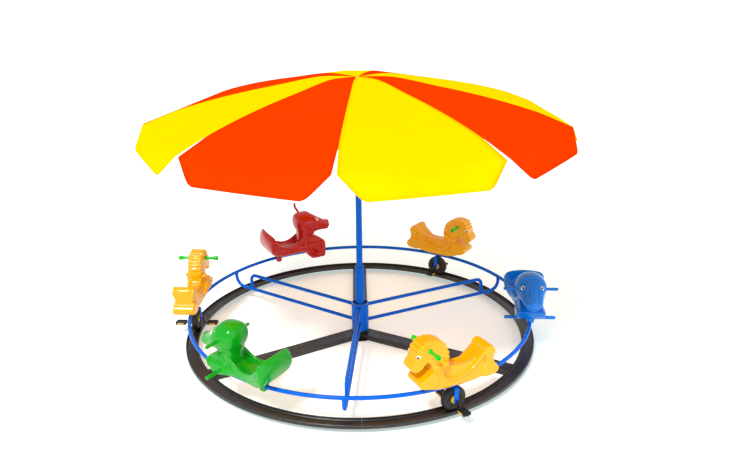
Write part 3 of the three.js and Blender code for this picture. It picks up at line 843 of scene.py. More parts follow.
# The moulded seats
def lion_form():
    """One lion seat at the middle of its own frame, as a bmesh."""
    bm = bmesh.new()
    edge = sizes().paw_round
    for outline, half in LION_PARTS:
        bevel = edge * (0.5 if outline is LION_HEAD else 0.8)
        slab(bm, millimetres(outline), half, bevel)
    bm = fused(bm, sizes().seat_voxel, 4)
    shape_lion(bm)
    return bm


def soften(bm):
    """Takes the last sharpness off a seat's skin."""
    bmesh.ops.smooth_vert(bm, verts=bm.verts, factor=0.3, use_axis_x=True, use_axis_y=True, use_axis_z=True)


def shape_lion(bm):
    """Presses into the skin what the flat outlines leave out."""
    panel = smooth_line(millimetres(LION_PANEL), 5, closed=True)
    border = [point for point in panel if point[1] < 0.47]
    middle_x, middle_z = (value / 1000 for value in MANE_MIDDLE)
    first, last = MANE_SPAN
    scallop = sizes().scallop
    for vert in bm.verts:
        x, y, z = vert.co
        # The leg panel under the saddle's rim
        lip = step_up(x, 0.035, 0.06) * step_up(z, 0.436, 0.45)
        if -0.25 < x < 0.13 and z > 0.3 and inside(x, z, panel):
            depth = step_up(gap_to(x, z, border), 0.0, 0.0075)
            behind = 1 - min(max((-x - 0.125) / 0.08, 0.0), 1.0)
            rise = step_up(z, 0.335, 0.4) * behind
            press = depth * (0.01 * (1 - step_up(-x, 0.17, 0.215)) + 0.009 * behind + 0.02 * rise) * (1 - lip)
            y *= 1 - press / SADDLE_HALF
        # The seat's dish, the waist of the back-rest and the belly's rounded edges
        if -0.2 < x < 0.05 and z > 0.375:
            z -= 0.006 * step_up(0.05 - abs(y), 0.0, 0.03) * step_up(z, 0.375, 0.39)
        if x < -0.2 and 0.3 < z < 0.5:
            waist = step_up(z, 0.352, 0.378) * (1 - step_up(z, 0.38, 0.46)) * step_up(-x, 0.2, 0.25)
            y *= 1 - 0.2 * waist
        y *= 1 - 0.45 * min(1.0, max(0.0, 0.278 - z) / 0.048) ** 2
        # The flutes and scallops of the mane
        reach = math.hypot(x - middle_x, z - middle_z)
        angle = math.degrees(math.atan2(z - middle_z, middle_x - x))
        if z > 0.43 and reach > 0.045 and first < angle < last:
            sag = MANE_SAG * (y / LION_HEAD_HALF) ** 2 * (1 - step_up(angle, 20, 130))
            turn = (angle - sag - first) / (last - first) * MANE_FLUTES
            ridge = abs(math.sin(math.pi * turn)) ** 0.7
            swell = scallop * (ridge - 0.6) * step_up(reach, 0.075, 0.1)
            side = step_up(reach, 0.05, 0.09) * step_up(abs(y), 0.035, 0.05)
            x += (x - middle_x) / reach * swell
            z += (z - middle_z) / reach * swell
            y *= 1 - 0.08 * side * (1 - ridge) ** 1.5
        vert.co = (x, y, z)
    soften(bm)


def dog_rows(rows):
    """Sections in millimetres as sections in metres."""
    return [(x / 1000, z / 1000, pitch, *(value / 1000 for value in rest)) for x, z, pitch, *rest in rows]


def head_place(name):
    """Where a dog's head goes from its level place: lowered, and nodding about its pivot."""
    drop, nod = HEAD_POSE[name]
    pivot = Vector(HEAD_PIVOT)
    turn = Matrix.Rotation(math.radians(nod), 4, "Y")
    return Matrix.Translation(pivot - Vector((0, 0, drop))) @ turn @ Matrix.Translation(-pivot)


def dog_form(name):
    """One dog seat without its bars, at the middle of its own frame."""
    place = head_place(name)
    bm = bmesh.new()
    loft(bm, dog_rows(DOG_BODY))
    back = dog_rows(DOG_BODY[:7])
    loft(bm, back + [(-0.185, 0.302, -28, 0.128, 0.038)], squareness=5)
    for side in (-1, 1):
        loft(bm, [(*row[:5], side * row[5]) for row in dog_rows(DOG_RIM)], sides=16)
    head = bmesh.new()
    for target, rows in ((bm, DOG_NECK), (head, DOG_HOOD), (head, DOG_FACE)):
        loft(target, dog_rows(rows), squareness=2.2)
    ball(head, (DOG_NOSE[0], 0, DOG_NOSE[1]), (0.0234, 0.0325, 0.0234))
    merge_into(bm, head, place)
    deep = name == "red"
    slab(bm, millimetres(DEEP_CHEST if deep else DOG_CHEST), DOG_CHEST_HALF, 0.013, steps=2)
    # The blocks under the seat: a rear one on all, and a front one where the chest doesn't reach down
    if not deep:
        brick(bm, (0.12, 0.062, 0.036), (0.2, 0, 0.248), 0.008, 3)
    brick(bm, (0.05, 0.06, 0.07), (-0.146, 0, 0.215), 0.008, 3)
    bm = fused(bm, sizes().seat_voxel * 1.1, 9)
    shape_dog(bm, place, *BACK_REST_FIT[name])
    return bm


def shape_dog(bm, place, rise, lean):
    """Bows the back-rest, narrows the chest's top and presses in what the sections leave out."""
    settle = place.inverted()
    for vert in bm.verts:
        x, y, z = vert.co
        # The back-rest bows about the rider, and its height and slope differ from dog to dog
        if x < -0.15 and z > 0.34:
            high = step_up(z, 0.34, 0.46) * step_up(-x, 0.15, 0.22)
            wing = (y / 0.15) ** 2
            x += high * (0.02 * wing - 0.008)
            z += high * (rise + lean * y - 0.012 * wing)
        # The chest narrows below the face
        if x > 0.1 and 0.32 < z < 0.45:
            narrow = step_up(z, 0.325, 0.36) * (1 - step_up(z, 0.41, 0.45)) * step_up(x, 0.1, 0.14)
            y *= 1 - 0.17 * narrow
        # The seat's dish
        if -0.21 < x < 0.09 and 0.31 < z < 0.42:
            hollow = step_up(0.08 - abs(y), 0.0, 0.03) * step_up(z, 0.315, 0.335)
            z -= 0.012 * hollow * step_up(0.09 - x, 0.0, 0.04) * step_up(x + 0.21, 0.0, 0.05)
        # The grooves behind the neck and down the side of the chest
        if 0.04 < x < 0.16 and 0.33 < z < 0.5 and abs(y) > 0.03:
            line = abs(x - 0.1 - (0.5 - z) * 0.1)
            press = (1 - step_up(line, 0.0, 0.022)) * step_up(z, 0.34, 0.4) * (1 - step_up(z, 0.43, 0.48))
            y *= 1 - 0.06 * press
        if x > 0.24 and z < 0.39 and abs(y) > 0.07:
            y *= 1 - 0.09 * (1 - step_up(abs(x - 0.262), 0.0, 0.01))
        # The head in its level place: the hood's edge, the bridge of the nose and the mouth
        x, y, z = settle @ Vector((x, y, z))
        if 0.18 < x < 0.21 and z > 0.42:
            squeeze = 1 - 0.075 * (1 - step_up(abs(x - 0.195), 0.0, 0.009))
            y *= squeeze
            z = 0.52 + (z - 0.52) * squeeze
        if x > 0.25 and z > 0.47:
            bridge = (1 - step_up(abs(abs(y) - 0.034), 0.0, 0.014)) * step_up(x, 0.26, 0.3)
            z -= 0.009 * bridge * (1 - step_up(x, 0.365, 0.385))
        if x > 0.31 and 0.4 < z < 0.5:
            smile = abs(z - DOG_MOUTH - 2.0 * y * y)
            press = (1 - step_up(smile, 0.0, 0.009)) * step_up(x, 0.32, 0.36)
            x -= 0.008 * press
            y *= 1 - 0.08 * press
        vert.co = place @ Vector((x, y, z))
    soften(bm)


def add_eyes(kind, seat, tree, spot, parts, matrix, dark, ahead=0.0, slope=0.0):
    """The whites and pupils of a head: flattened balls on the skin that look out, and ahead by a share."""
    materials = {"white": plastic("eye white", linear(245, 244, 240)), "pupil": dark}
    for part, (forward, up, radii, sink) in parts.items():
        bm = bmesh.new()
        for side in (-1, 1):
            outside = Vector((spot[0] + forward, side * 0.4, spot[1] + up))
            place, normal, _, _ = tree.ray_cast(outside, Vector((0, -side, 0)))
            if place is None:
                raise RuntimeError("no skin behind the eye")
            facing = (normal + Vector((ahead, 0, 0))).normalized()
            level = Vector((1, 0, 0)) - facing * facing.x
            level.normalize()
            aim = Matrix((level, facing.cross(level), facing)).transposed().to_4x4()
            ball(bm, place - normal * sink, radii, aim @ Matrix.Rotation(-side * slope, 4, "Z"))
        full_name = f"{kind}_{part}_{seat}"
        piece(full_name, finish_mesh(full_name, bm, matrix), "carousel", materials[part])


class ROUNDABOUT_OT_stage(bpy.types.Operator):
    """Floor, soft lights and the camera of the photograph"""

    bl_idname = "roundabout.stage"
    bl_label = "Stage"

    def execute(self, context):
        scene = context.scene
        scene.view_settings.view_transform = "Standard"
        bm = bmesh.new()
        bmesh.ops.create_grid(bm, x_segments=1, y_segments=1, size=60)
        mesh = bpy.data.meshes.new("floor")
        bm.to_mesh(mesh)
        bm.free()
        floor = bpy.data.objects.new("floor", mesh)
        scene.collection.objects.link(floor)
        material, _, surface = start_material("pale floor")
        settings = {
            "Base Color": (0.85, 0.9, 0.9, 1),
            "Roughness": 0.9,
            "Specular IOR Level": 0.1,
            "Emission Color": (0.82, 1, 0.96, 1),
            "Emission Strength": 0.36,
        }
        feed_all(surface, settings)
        mesh.materials.append(material)
        world = bpy.data.worlds.new("studio")
        world.use_nodes = True
        sky = world.node_tree.nodes["Background"].inputs
        sky[0].default_value = (1, 1, 1, 1)
        sky[1].default_value = 0.78
        scene.world = world
        self.lamp("key", (-2.4, -4.2, 6.8), 2.1, 8)
        self.lamp("fill", (4.0, -4.0, 3.0), 0.4, 40)
        self.camera(scene)
        return {"FINISHED"}

    def lamp(self, name, place, strength, spread):
        """A sun lamp that shines towards the seats."""
        light = bpy.data.lights.new(name, "SUN")
        light.energy = strength
        light.angle = math.radians(spread)
        lamp = bpy.data.objects.new(name, light)
        aim = Vector((0, 0, 0.6)) - Vector(place)
        lamp.rotation_euler = aim.to_track_quat("-Z", "Y").to_euler()
        lamp.location = place
        bpy.context.scene.collection.objects.link(lamp)

    def camera(self, scene):
        """The camera at the photograph's place, turned by yaw, then pitch, then roll."""
        pitch = math.radians(CAMERA_PITCH)
        yaw = math.radians(CAMERA_YAW)
        roll = math.radians(CAMERA_ROLL)
        ahead = Vector((math.sin(yaw) * math.cos(pitch), math.cos(yaw) * math.cos(pitch), -math.sin(pitch)))
        right = Vector((math.cos(yaw), -math.sin(yaw), 0))
        up = right.cross(ahead)
        across = right * math.cos(roll) + up * math.sin(roll)
        above = up * math.cos(roll) - right * math.sin(roll)
        turn = Matrix((across, above, -ahead)).transposed()
        data = bpy.data.cameras.new("camera")
        data.lens = CAMERA_LENS
        data.sensor_width = 36
        camera = bpy.data.objects.new("camera", data)
        camera.matrix_world = Matrix.Translation(CAMERA_PLACE) @ turn.to_4x4()
        scene.collection.objects.link(camera)
        scene.camera = camera


class ROUNDABOUT_OT_base(bpy.types.Operator):
    """Wheel track, base bars and the fixed post"""

    bl_idname = "roundabout.base"
    bl_label = "Base and track"

    def execute(self, context):
        lip = 0.0022
        wall = TRACK_WALL
        side = [
            (0, 0), (0, TRACK_HEIGHT - lip), (lip, TRACK_HEIGHT), (wall - lip, TRACK_HEIGHT),
            (wall, TRACK_HEIGHT - lip), (wall + 0.001, TRACK_FLOOR + 0.006), (wall + 0.008, TRACK_FLOOR),
        ]
        profile = [(TRACK_OUTER - inset, height) for inset, height in side]
        profile += [(TRACK_INNER + inset, height) for inset, height in reversed(side)]
        for i in range(3):
            bm = revolve(profile, 96, 120 - 2 * JOINT, TRACK_START + i * 120 + JOINT)
            self.add(f"track_{i + 1}", bm, f"track_rail_{i + 1}")
        for i, azimuth in enumerate(BAR_AZIMUTHS):
            self.add(f"bar_{i + 1}", self.bar(), f"base_bar_{i + 1}", turned(azimuth))
        self.add("post", self.post(), "centre_post")
        return {"FINISHED"}

    def add(self, name, bm, node, matrix=None):
        piece(name, finish_mesh(name, bm, matrix), "base", black_paint(), [node])

    def bar(self):
        """A flat bar along X whose inner end is cut round to fit the foot."""
        half = BAR_WIDTH / 2
        foot = FOOT_RADIUS + GAP
        spread = math.asin(half / foot)
        steps = 8
        turns = [(1 - k / steps) * spread for k in range(2 * steps + 1)]
        outline = [(BAR_REACH, -half), (BAR_REACH, half)]
        outline += [(foot * math.cos(turn), foot * math.sin(turn)) for turn in turns]
        bm = prism([(x, y, GAP - DECK) for x, y in outline], (0, 0, DECK - 2 * GAP))
        round_edges(bm, 0.004, 3)
        return bm

    def post(self):
        plate_top = PLATE_THICK - DECK
        profile = [
            (AXIS_GAP, -DECK), (PLATE_RADIUS, -DECK), (PLATE_RADIUS, plate_top - 0.001),
            (PLATE_RADIUS - 0.001, plate_top), (FOOT_RADIUS, plate_top), (FOOT_RADIUS, -0.004),
            (FOOT_RADIUS - 0.004, 0), (0.055, 0), (0.055, 0.009), (0.054, 0.01), (0.052, 0.01),
            (0.052, 0.0897), (0.045, 0.0897), (0.045, 0.13), (0.0385, 0.13), (0.0385, POLE_FOOT),
            (AXIS_GAP, POLE_FOOT),
        ]
        return revolve(profile, 48)


class ROUNDABOUT_OT_pole(bpy.types.Operator):
    """The stepped centre pole"""

    bl_idname = "roundabout.pole"
    bl_label = "Pole"

    def execute(self, context):
        self.rod("pole", "lower_pole", POLE_RADIUS, POLE_FOOT + GAP, POLE_STEP, 0.005)
        self.rod("mast", "upper_mast", MAST_RADIUS, POLE_STEP + GAP, MAST_TOP, 0.002, welded=True)
        return {"FINISHED"}

    def rod(self, name, node, radius, low, high, edge, welded=False):
        """A round pole with softened ends, and a weld at its foot where it stands on another."""
        profile = [
            (AXIS_GAP, low), (radius - edge, low), (radius, low + edge), (radius, high - edge),
            (radius - edge * 0.3, high - edge * 0.3), (radius - edge, high), (AXIS_GAP, high),
        ]
        bm = revolve(profile, 48)
        if welded:
            weld = [(-0.001, 0), (0.006, 0), (0.0035, 0.004), (-0.001, 0.007)]
            merge_into(bm, revolve([(radius + out, low + up) for out, up in weld], 48))
        piece(name, finish_mesh(name, bm), "base", blue_paint(), [node])


class ROUNDABOUT_OT_hub(bpy.types.Operator):
    """The turning sleeve and its bush"""

    bl_idname = "roundabout.hub"
    bl_label = "Hub"

    def execute(self, context):
        soft = 0.0015
        low = SLEEVE_BOTTOM
        high = SLEEVE_TOP
        profile = [
            (SLEEVE_BORE, low + soft), (SLEEVE_BORE + soft, low), (SLEEVE_RADIUS - soft, low),
            (SLEEVE_RADIUS, low + soft), (SLEEVE_RADIUS, high - soft), (SLEEVE_RADIUS - soft, high),
            (SLEEVE_BORE + soft, high), (SLEEVE_BORE, high - soft),
        ]
        top = [
            (SLEEVE_BORE + 0.001, high), (SLEEVE_RADIUS - 0.001, high),
            (SLEEVE_RADIUS - 0.0014, high + 0.0008), (SLEEVE_BORE + 0.0014, high + 0.0008),
        ]
        self.add("hub", profile, "blue_paint", blue_paint(), ["hub_sleeve"])
        self.add("hub_rim", top, "bare_steel", bare_steel(), [])
        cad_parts["hub_bush"].material_slots[0].material = bare_steel()
        return {"FINISHED"}

    def add(self, name, profile, slot, material, nodes):
        piece(name, finish_mesh(name, revolve(profile, 64)), "carousel", material, nodes)


class ROUNDABOUT_OT_ring(bpy.types.Operator):
    """The seat ring and the six bent tubes that carry it"""

    bl_idname = "roundabout.ring"
    bl_label = "Ring and spokes"

    def execute(self, context):
        sides = [math.tau * k / 24 for k in range(24)]
        circle = [(TUBE_RADIUS * math.cos(side), TUBE_RADIUS * math.sin(side)) for side in sides]
        circle = [(RING_RADIUS + out, RING_HEIGHT + up) for out, up in circle]
        for i in range(3):
            bm = revolve(circle, 90, 120 - 2 * JOINT, RING_START + i * 120 + JOINT)
            self.add(f"ring_{i + 1}", bm, f"seat_ring_{i + 1}")
        # A leg ends a little inside the tube that it meets, and its weld lies on that tube
        ring_foot = RING_HEIGHT - TUBE_RADIUS
        spoke_top = LOWER_TUBE + TUBE_RADIUS
        for i, azimuth in enumerate(FRAME_AZIMUTHS):
            place = turned(azimuth)
            bm = self.spoke(RING_RADIUS, LOWER_TUBE, ring_foot + 0.002, LOWER_BEND, ring_foot + 0.001)
            self.add(f"low_tube_{i + 1}", bm, f"lower_spoke_{i + 1}", place)
            bm = self.spoke(UPPER_POST, UPPER_TUBE, spoke_top - 0.001, UPPER_BEND, spoke_top)
            self.add(f"high_tube_{i + 1}", bm, f"upper_spoke_{i + 1}", place)
        return {"FINISHED"}

    def add(self, name, bm, node, matrix=None):
        piece(name, finish_mesh(name, bm, matrix), "carousel", blue_paint(), [node])

    def spoke(self, reach, height, end, bend, weld):
        """A tube from the hub along X, then a quarter bend to a vertical leg, with a weld at both ends."""
        start = SLEEVE_RADIUS - 0.002
        sign = math.copysign(1, end - height)
        bm = bmesh.new()
        aim = Matrix.Translation((start, 0, height)) @ Matrix.Rotation(math.radians(90), 4, "Y")
        bmesh.ops.create_circle(bm, cap_ends=True, radius=TUBE_RADIUS, segments=24, matrix=aim)
        bm.faces.ensure_lookup_table()
        face = pulled(bm, bm.faces[0], (reach - bend - start, 0, 0))
        corner = (reach - bend, 0, height + sign * bend)
        turn = bmesh.ops.spin(
            bm, geom=[face], cent=corner, axis=(0, -sign, 0), angle=math.pi / 2, steps=12, use_merge=False
        )
        face = next(item for item in turn["geom_last"] if isinstance(item, bmesh.types.BMFace))
        pulled(bm, face, (0, 0, end - height - sign * bend))
        outward(bm)
        self.bead(bm, (SLEEVE_RADIUS, 0, height), (1, 0, 0))
        self.bead(bm, (reach, 0, weld), (0, 0, 1))
        return bm

    def bead(self, bm, place, axis):
        """A rippled weld bead round a tube."""
        bead = sizes().weld_bead
        profile = [
            (-0.001, -bead), (bead * 0.7, -bead * 0.6), (bead * 0.8, 0), (bead * 0.4, bead),
            (-0.001, bead * 1.3),
        ]
        part = revolve([(TUBE_RADIUS + out, up) for out, up in profile], 48)
        for vert in part.verts:
            swell = 1 + 0.03 * math.sin(math.atan2(vert.co.y, vert.co.x) * 16)
            vert.co.x *= swell
            vert.co.y *= swell
        merge_into(bm, part, Matrix.Translation(place) @ upright_to(axis))


class ROUNDABOUT_OT_canopy(bpy.types.Operator):
    """Nine gores of cloth, each with a hanging flap"""

    bl_idname = "roundabout.canopy"
    bl_label = "Canopy"

    def execute(self, context):
        yellow = cloth("yellow cloth", tuple(colours().canopy_yellow))
        orange = cloth("orange cloth", tuple(colours().canopy_orange))
        for i, is_orange in enumerate(PANEL_IS_ORANGE):
            azimuth = CANOPY_FIRST + (i + 0.5) * 360 / CANOPY_PANELS
            mesh, flat, area = self.gore(f"gore_{i + 1}", azimuth)
            slot, material = ("canopy_orange", orange) if is_orange else ("canopy_yellow", yellow)
            obj = piece(f"gore_{i + 1}", mesh, "base", material, [f"canopy_panel_{i + 1}"])
            body = obj.modifiers.new("cloth", "SOLIDIFY")
            body.thickness = CANOPY_CLOTH
            body.offset = -1
            body.use_even_offset = True
        return {"FINISHED"}

    def rows(self):
        """Rows from the crown to the hem: the seam's place, the middle's place and the half width."""
        half = math.radians(180 / CANOPY_PANELS)
        rim_radius = CANOPY_PROFILE[-1][0]
        rows = []
        for radius, height in smooth_line(CANOPY_PROFILE, 4):
            parting = SLIT_HALF * max(0.0, (radius - SLIT_START) / (rim_radius - SLIT_START))
            out = radius * math.cos(half)
            rows.append(((out, height), (out, height), out * math.tan(half) - parting))
        rim, _, rim_width = rows[-1]
        flap = [(0.0, *rim, rim_width), *FLAP_ROWS]
        for share, out, height, width in smooth_line(flap, 4)[1:]:
            rows.append((toward(rim, FLAP_CORNER, share), (out, height), width))
        return rows

    def gore(self, name, azimuth):
        """One panel's mesh with its two UV maps, its flat size and its flat area."""
        rows = self.rows()
        columns = 20
        bm = bmesh.new()
        bmesh.ops.create_grid(bm, x_segments=columns, y_segments=len(rows) - 1, size=1)
        gone = [0.0]
        for a, b in zip(rows, rows[1:]):
            gone.append(gone[-1] + math.dist(a[1], b[1]))
        cloth_map = bm.loops.layers.uv.new("cloth")
        hem_map = bm.loops.layers.uv.new("hem")
        facts = {}
        for vert in bm.verts:
            across = vert.co.x
            index = round((vert.co.y + 1) / 2 * (len(rows) - 1))
            side, middle, width = rows[index]
            out, height = toward(side, middle, 1 - across * across)
            vert.co = (out, across * width, height)
            to_side = width * (1 - abs(across))
            to_hem = gone[-1] - gone[index]
            run = gone[index] if to_side < to_hem else vert.co.y
            facts[vert.index] = (vert.co.y, gone[index], run, min(to_side, to_hem))
        for face in bm.faces:
            for loop in face.loops:
                u, v, run, edge = facts[loop.vert.index]
                loop[cloth_map].uv = (u, v)
                loop[hem_map].uv = (run, edge)
        bmesh.ops.recalc_face_normals(bm, faces=bm.faces)
        if sum(face.normal.z for face in bm.faces) < 0:
            bmesh.ops.reverse_faces(bm, faces=bm.faces)
        widths = [width for _, _, width in rows]
        area = sum((widths[i] + widths[i + 1]) * (gone[i + 1] - gone[i]) for i in range(len(rows) - 1))
        mesh = finish_mesh(name, bm, turned(azimuth), 60)
        return mesh, (2 * max(widths), gone[-1]), area


class ROUNDABOUT_OT_canopy_frame(bpy.types.Operator):
    """Finish of the steel ribs and braces under the cloth"""

    bl_idname = "roundabout.canopy_frame"
    bl_label = "Canopy frame"

    def execute(self, context):
        for name in ("canopy_ribs", "canopy_braces"):
            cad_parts[name].material_slots[0].material = bare_steel()
        return {"FINISHED"}


class ROUNDABOUT_OT_lions(bpy.types.Operator):
    """Three lion seats with eyes and handlebars"""

    bl_idname = "roundabout.lions"
    bl_label = "Lion seats"

    def execute(self, context):
        skin = plastic("lion plastic", tuple(colours().lion_plastic))
        grip = plastic("handle plastic", tuple(colours().handle_plastic))
        dark = plastic("eye navy", linear(26, 38, 110))
        form = lion_form()
        tree = BVHTree.FromBMesh(form)
        shape = finish_mesh("lion", form, smooth_angle=50)
        for name, azimuth in LIONS.items():
            matrix = ring_place(azimuth)
            mesh = shape.copy()
            mesh.transform(matrix)
            piece(f"lion_{name}", mesh, "carousel", skin, [f"lion_seat_{name}"])
            add_eyes("lion", name, tree, LION_EYE, LION_EYE_PARTS, matrix, dark, slope=0.6)
            mesh = self.handle(f"grip_{name}", matrix)
            piece(f"grip_{name}", mesh, "carousel", grip, [f"lion_handle_{name}"])
        bpy.data.meshes.remove(shape)
        return {"FINISHED"}

    def handle(self, name, matrix):
        """A bar with a collar where it leaves the head and a hollow ended knob at each tip."""
        x, z, end = LION_HANDLE
        knob = sizes().knob_radius
        half = [
            (AXIS_GAP, 0.0), (0.0105, 0.0), (0.0105, 0.05), (0.0165, 0.052), (0.0165, 0.064), (0.0138, 0.073),
            (0.0122, 0.088), (0.0116, 0.108), (0.0122, 0.126), (0.015, 0.137), (knob - 0.001, 0.144),
            (knob, 0.149), (knob, end - 0.006), (knob - 0.002, end - 0.001), (knob - 0.005, end),
            (0.0105, end - 0.001), (0.0095, end - 0.008), (AXIS_GAP, end - 0.009),
        ]
        bm = bmesh.new()
        for side in (-1, 1):
            merge_into(bm, revolve(half, 32), Matrix.Rotation(math.radians(-90 * side), 4, "X"))
        return finish_mesh(name, bm, matrix @ Matrix.Translation((x, 0, z)), 40)


class ROUNDABOUT_OT_dogs(bpy.types.Operator):
    """Three dog seats with bars and eyes"""

    bl_idname = "roundabout.dogs"
    bl_label = "Dog seats"

    def execute(self, context):
        tints = colours()
        finishes = {"blue": tints.dog_blue, "red": tints.dog_red, "green": tints.dog_green}
        dark = plastic("eye black", linear(22, 18, 16))
        for name, azimuth in DOGS.items():
            matrix = ring_place(azimuth, DOG_RADIUS)
            form = dog_form(name)
            tree = BVHTree.FromBMesh(form)
            mesh = finish_mesh(f"dog_{name}", form, matrix, 60)
            skin = plastic(f"{name} dog plastic", tuple(finishes[name]))
            piece(f"dog_{name}", mesh, "carousel", skin, [f"dog_seat_{name}"])
            piece(f"dog_bars_{name}", self.bars(name, matrix), "carousel", skin)
            seen = head_place(name) @ Vector((DOG_EYE[0], 0, DOG_EYE[1]))
            spot = (seen.x, seen.z)
            add_eyes("dog", name, tree, spot, DOG_EYE_PARTS, matrix, dark, ahead=0.4)
        return {"FINISHED"}

    def bars(self, name, matrix):
        """The handlebar through the hood and the footrest through the chest."""
        bm = bmesh.new()
        x, z, half = DOG_HANDLE
        x, _, z = head_place(name) @ Vector((x, 0, z))
        grip = LEANING_GRIP if name == "red" else [(x, -half, z), (x, half, z)]
        tube(bm, grip, DOG_BAR)
        x, z, half = DOG_FOOTREST
        tube(bm, [(x, -half, z), (x, half, z)], FOOTREST_BAR)
        return finish_mesh(f"dog_bars_{name}", bm, matrix)


class ROUNDABOUT_OT_wheels(bpy.types.Operator):
    """Forks, tyres, wheel centres, cranks and pedals"""

    bl_idname = "roundabout.wheels"
    bl_label = "Wheels and pedals"

    def execute(self, context):
        tints = colours()
        marks = {"Mark": four(linear(70, 64, 58)), "Scuffs": 0.25, "Dust": 0.4, "Dust Height": 0.05}
        base = tuple(tints.tyre_rubber)
        shade = four(linear(16, 16, 16))
        rubber = coated("tyre rubber", base, shade, (0.5, 0.7), grain=400.0, bump=0.35, marks=marks)
        centre = plastic("wheel centre plastic", tuple(tints.hub_yellow))
        shade = four(linear(12, 12, 12))
        black = coated("pedal plastic", tuple(tints.pedal_black), shade, (0.4, 0.6), bump=0.3)
        reflector = plastic("reflector", tuple(tints.hub_yellow))
        shade = four(linear(35, 35, 36))
        crank = coated("dark steel", linear(60, 60, 62), shade, (0.28, 0.42), metal=0.8)
        for name, azimuth in LIONS.items():
            matrix = ring_place(azimuth + WHEEL_LEAD, WHEEL_CIRCLE)
            wheel = f"wheel_{name}"
            parts = [
                ("fork", self.fork(), 30, "carousel", "blue_paint", blue_paint(), "wheel_fork"),
                ("tread", self.tyre(), 35, wheel, "tyre_rubber", rubber, "tyre"),
                ("centre", self.centre(), 35, wheel, "hub_yellow", centre, "wheel_centre"),
                ("crank", self.crank(), 35, wheel, "bare_steel", crank, "crank_axle"),
            ]
            for side, y in (("outer", PEDAL_OFFSET), ("inner", -PEDAL_OFFSET)):
                body = f"pedal_{side}_{name}_turning"
                node = f"pedal_{side}"
                parts += [
                    (f"pedal_body_{side}", self.pedal(y), 30, body, "pedal_black", black, node),
                    (f"reflectors_{side}", self.reflectors(y), 30, body, "hub_yellow", reflector, None),
                ]
            for label, bm, sharp, body, slot, material, node in parts:
                full_name = f"{label}_{name}"
                nodes = [f"{node}_{name}"] if node else []
                piece(full_name, finish_mesh(full_name, bm, matrix, sharp), body, material, nodes)
        return {"FINISHED"}

    def across(self, y, z, way=1):
        """Lays Z along the axle at a place, outward or inward."""
        return Matrix.Translation((0, y, z)) @ Matrix.Rotation(math.radians(-90 * way), 4, "X")

    def fork(self):
        """A flat strap bent over the wheel, with rounded feet and nuts at the axle."""
        top = RING_HEIGHT - TUBE_RADIUS
        outer = LEG_OFFSET + LEG_THICK / 2
        inner = LEG_OFFSET - LEG_THICK / 2
        below_axle = 0.018
        low = AXLE_HEIGHT - below_axle
        bend = 0.012
        foot_round = 0.013
        path = [(-outer, low), (-outer, top - bend)]
        for angle in (67.5, 45, 22.5):
            turn = math.radians(angle)
            path.append((-outer + bend - bend * math.sin(turn), top - bend + bend * math.cos(turn)))
        path.append((-outer + bend, top))
        path += [(-y, z) for y, z in reversed(path)]
        path += [(y * inner / outer, min(z, top - LEG_THICK)) for y, z in reversed(path)]
        bm = prism([(-LEG_WIDTH / 2, y, z) for y, z in path], (LEG_WIDTH, 0, 0))
        corners = [
            edge for edge in bm.edges
            if all(abs(vert.co.z - low) < 1e-5 for vert in edge.verts)
            and abs(edge.verts[0].co.x - edge.verts[1].co.x) < 1e-6
        ]
        round_edges(bm, foot_round, 4, edges=corners)
        nut = [(AXIS_GAP, 0.0), (0.013, 0.0), (0.012, 0.004), (AXIS_GAP, 0.004)]
        for way in (-1, 1):
            merge_into(bm, revolve(nut, 6), self.across(way * outer, AXLE_HEIGHT, way))
        return bm

    def on_axle(self, half, steps):
        """A profile given for one side of the wheel's middle, mirrored and spun about the axle."""
        profile = [(radius, -out) for radius, out in half] + half[::-1]
        bm = bmesh.new()
        merge_into(bm, revolve(profile, steps), self.across(0, AXLE_HEIGHT))
        return bm

    def tyre(self):
        w = WHEEL_HALF
        r = WHEEL_RADIUS
        half = [
            (TYRE_BORE, w - 0.01), (0.044, w - 0.006), (0.048, w - 0.003), (0.052, w - 0.0055),
            (0.057, w - 0.002), (r - 0.02, w), (r - 0.008, w - 0.004), (r - 0.002, w - 0.011), (r, w - 0.018),
            (r, 0.006), (r - 0.002, 0.0045),
        ]
        return self.on_axle(half, 72)

    def centre(self):
        """A dished plastic wheel centre with six ribs on both sides."""
        half = [
            (0.0075, 0.026), (0.0125, 0.026), (0.014, 0.0245), (0.0155, 0.018), (0.018, 0.016),
            (0.0245, 0.016), (0.0265, 0.0195), (0.0285, 0.0215), (TYRE_BORE - 0.0006, 0.02),
        ]
        bm = self.on_axle(half, 48)
        lay = self.across(0, AXLE_HEIGHT)
        rib = (0.012, 0.0028, 0.004)
        for side in (-1, 1):
            for i in range(6):
                brick(bm, rib, (0.021, 0, side * 0.0175), 0.0008, turn=lay @ turned(i * 60))
        return bm

    def crank(self):
        """The axle, two flat cranks that hang down and the pedals' spindles."""
        bm = bmesh.new()
        low = AXLE_HEIGHT - CRANK_LENGTH
        half = 0.0044
        axle_end = CRANK_OFFSET + 0.004
        spindle_end = PEDAL_OFFSET + PEDAL_WIDTH / 2 + 0.006
        tube(bm, [(0, -axle_end, AXLE_HEIGHT), (0, axle_end, AXLE_HEIGHT)], 0.0069)
        outline = []
        for middle, first, radius in ((AXLE_HEIGHT, 0, 0.0105), (low, 180, 0.0095)):
            for angle in (math.radians(first + k * 30) for k in range(7)):
                outline.append((radius * math.cos(angle), middle + radius * math.sin(angle)))
        for side in (-1, 1):
            y = side * CRANK_OFFSET
            part = prism([(x, y - half, z) for x, z in outline], (0, 2 * half, 0))
            round_edges(part, 0.0012, 2, 50)
            merge_into(bm, part)
            tube(bm, [(0, y, low), (0, side * spindle_end, low)], 0.006, 16)
            tube(bm, [(0, side * (spindle_end - 0.003), low), (0, side * spindle_end, low)], 0.0098, 6)
        return bm

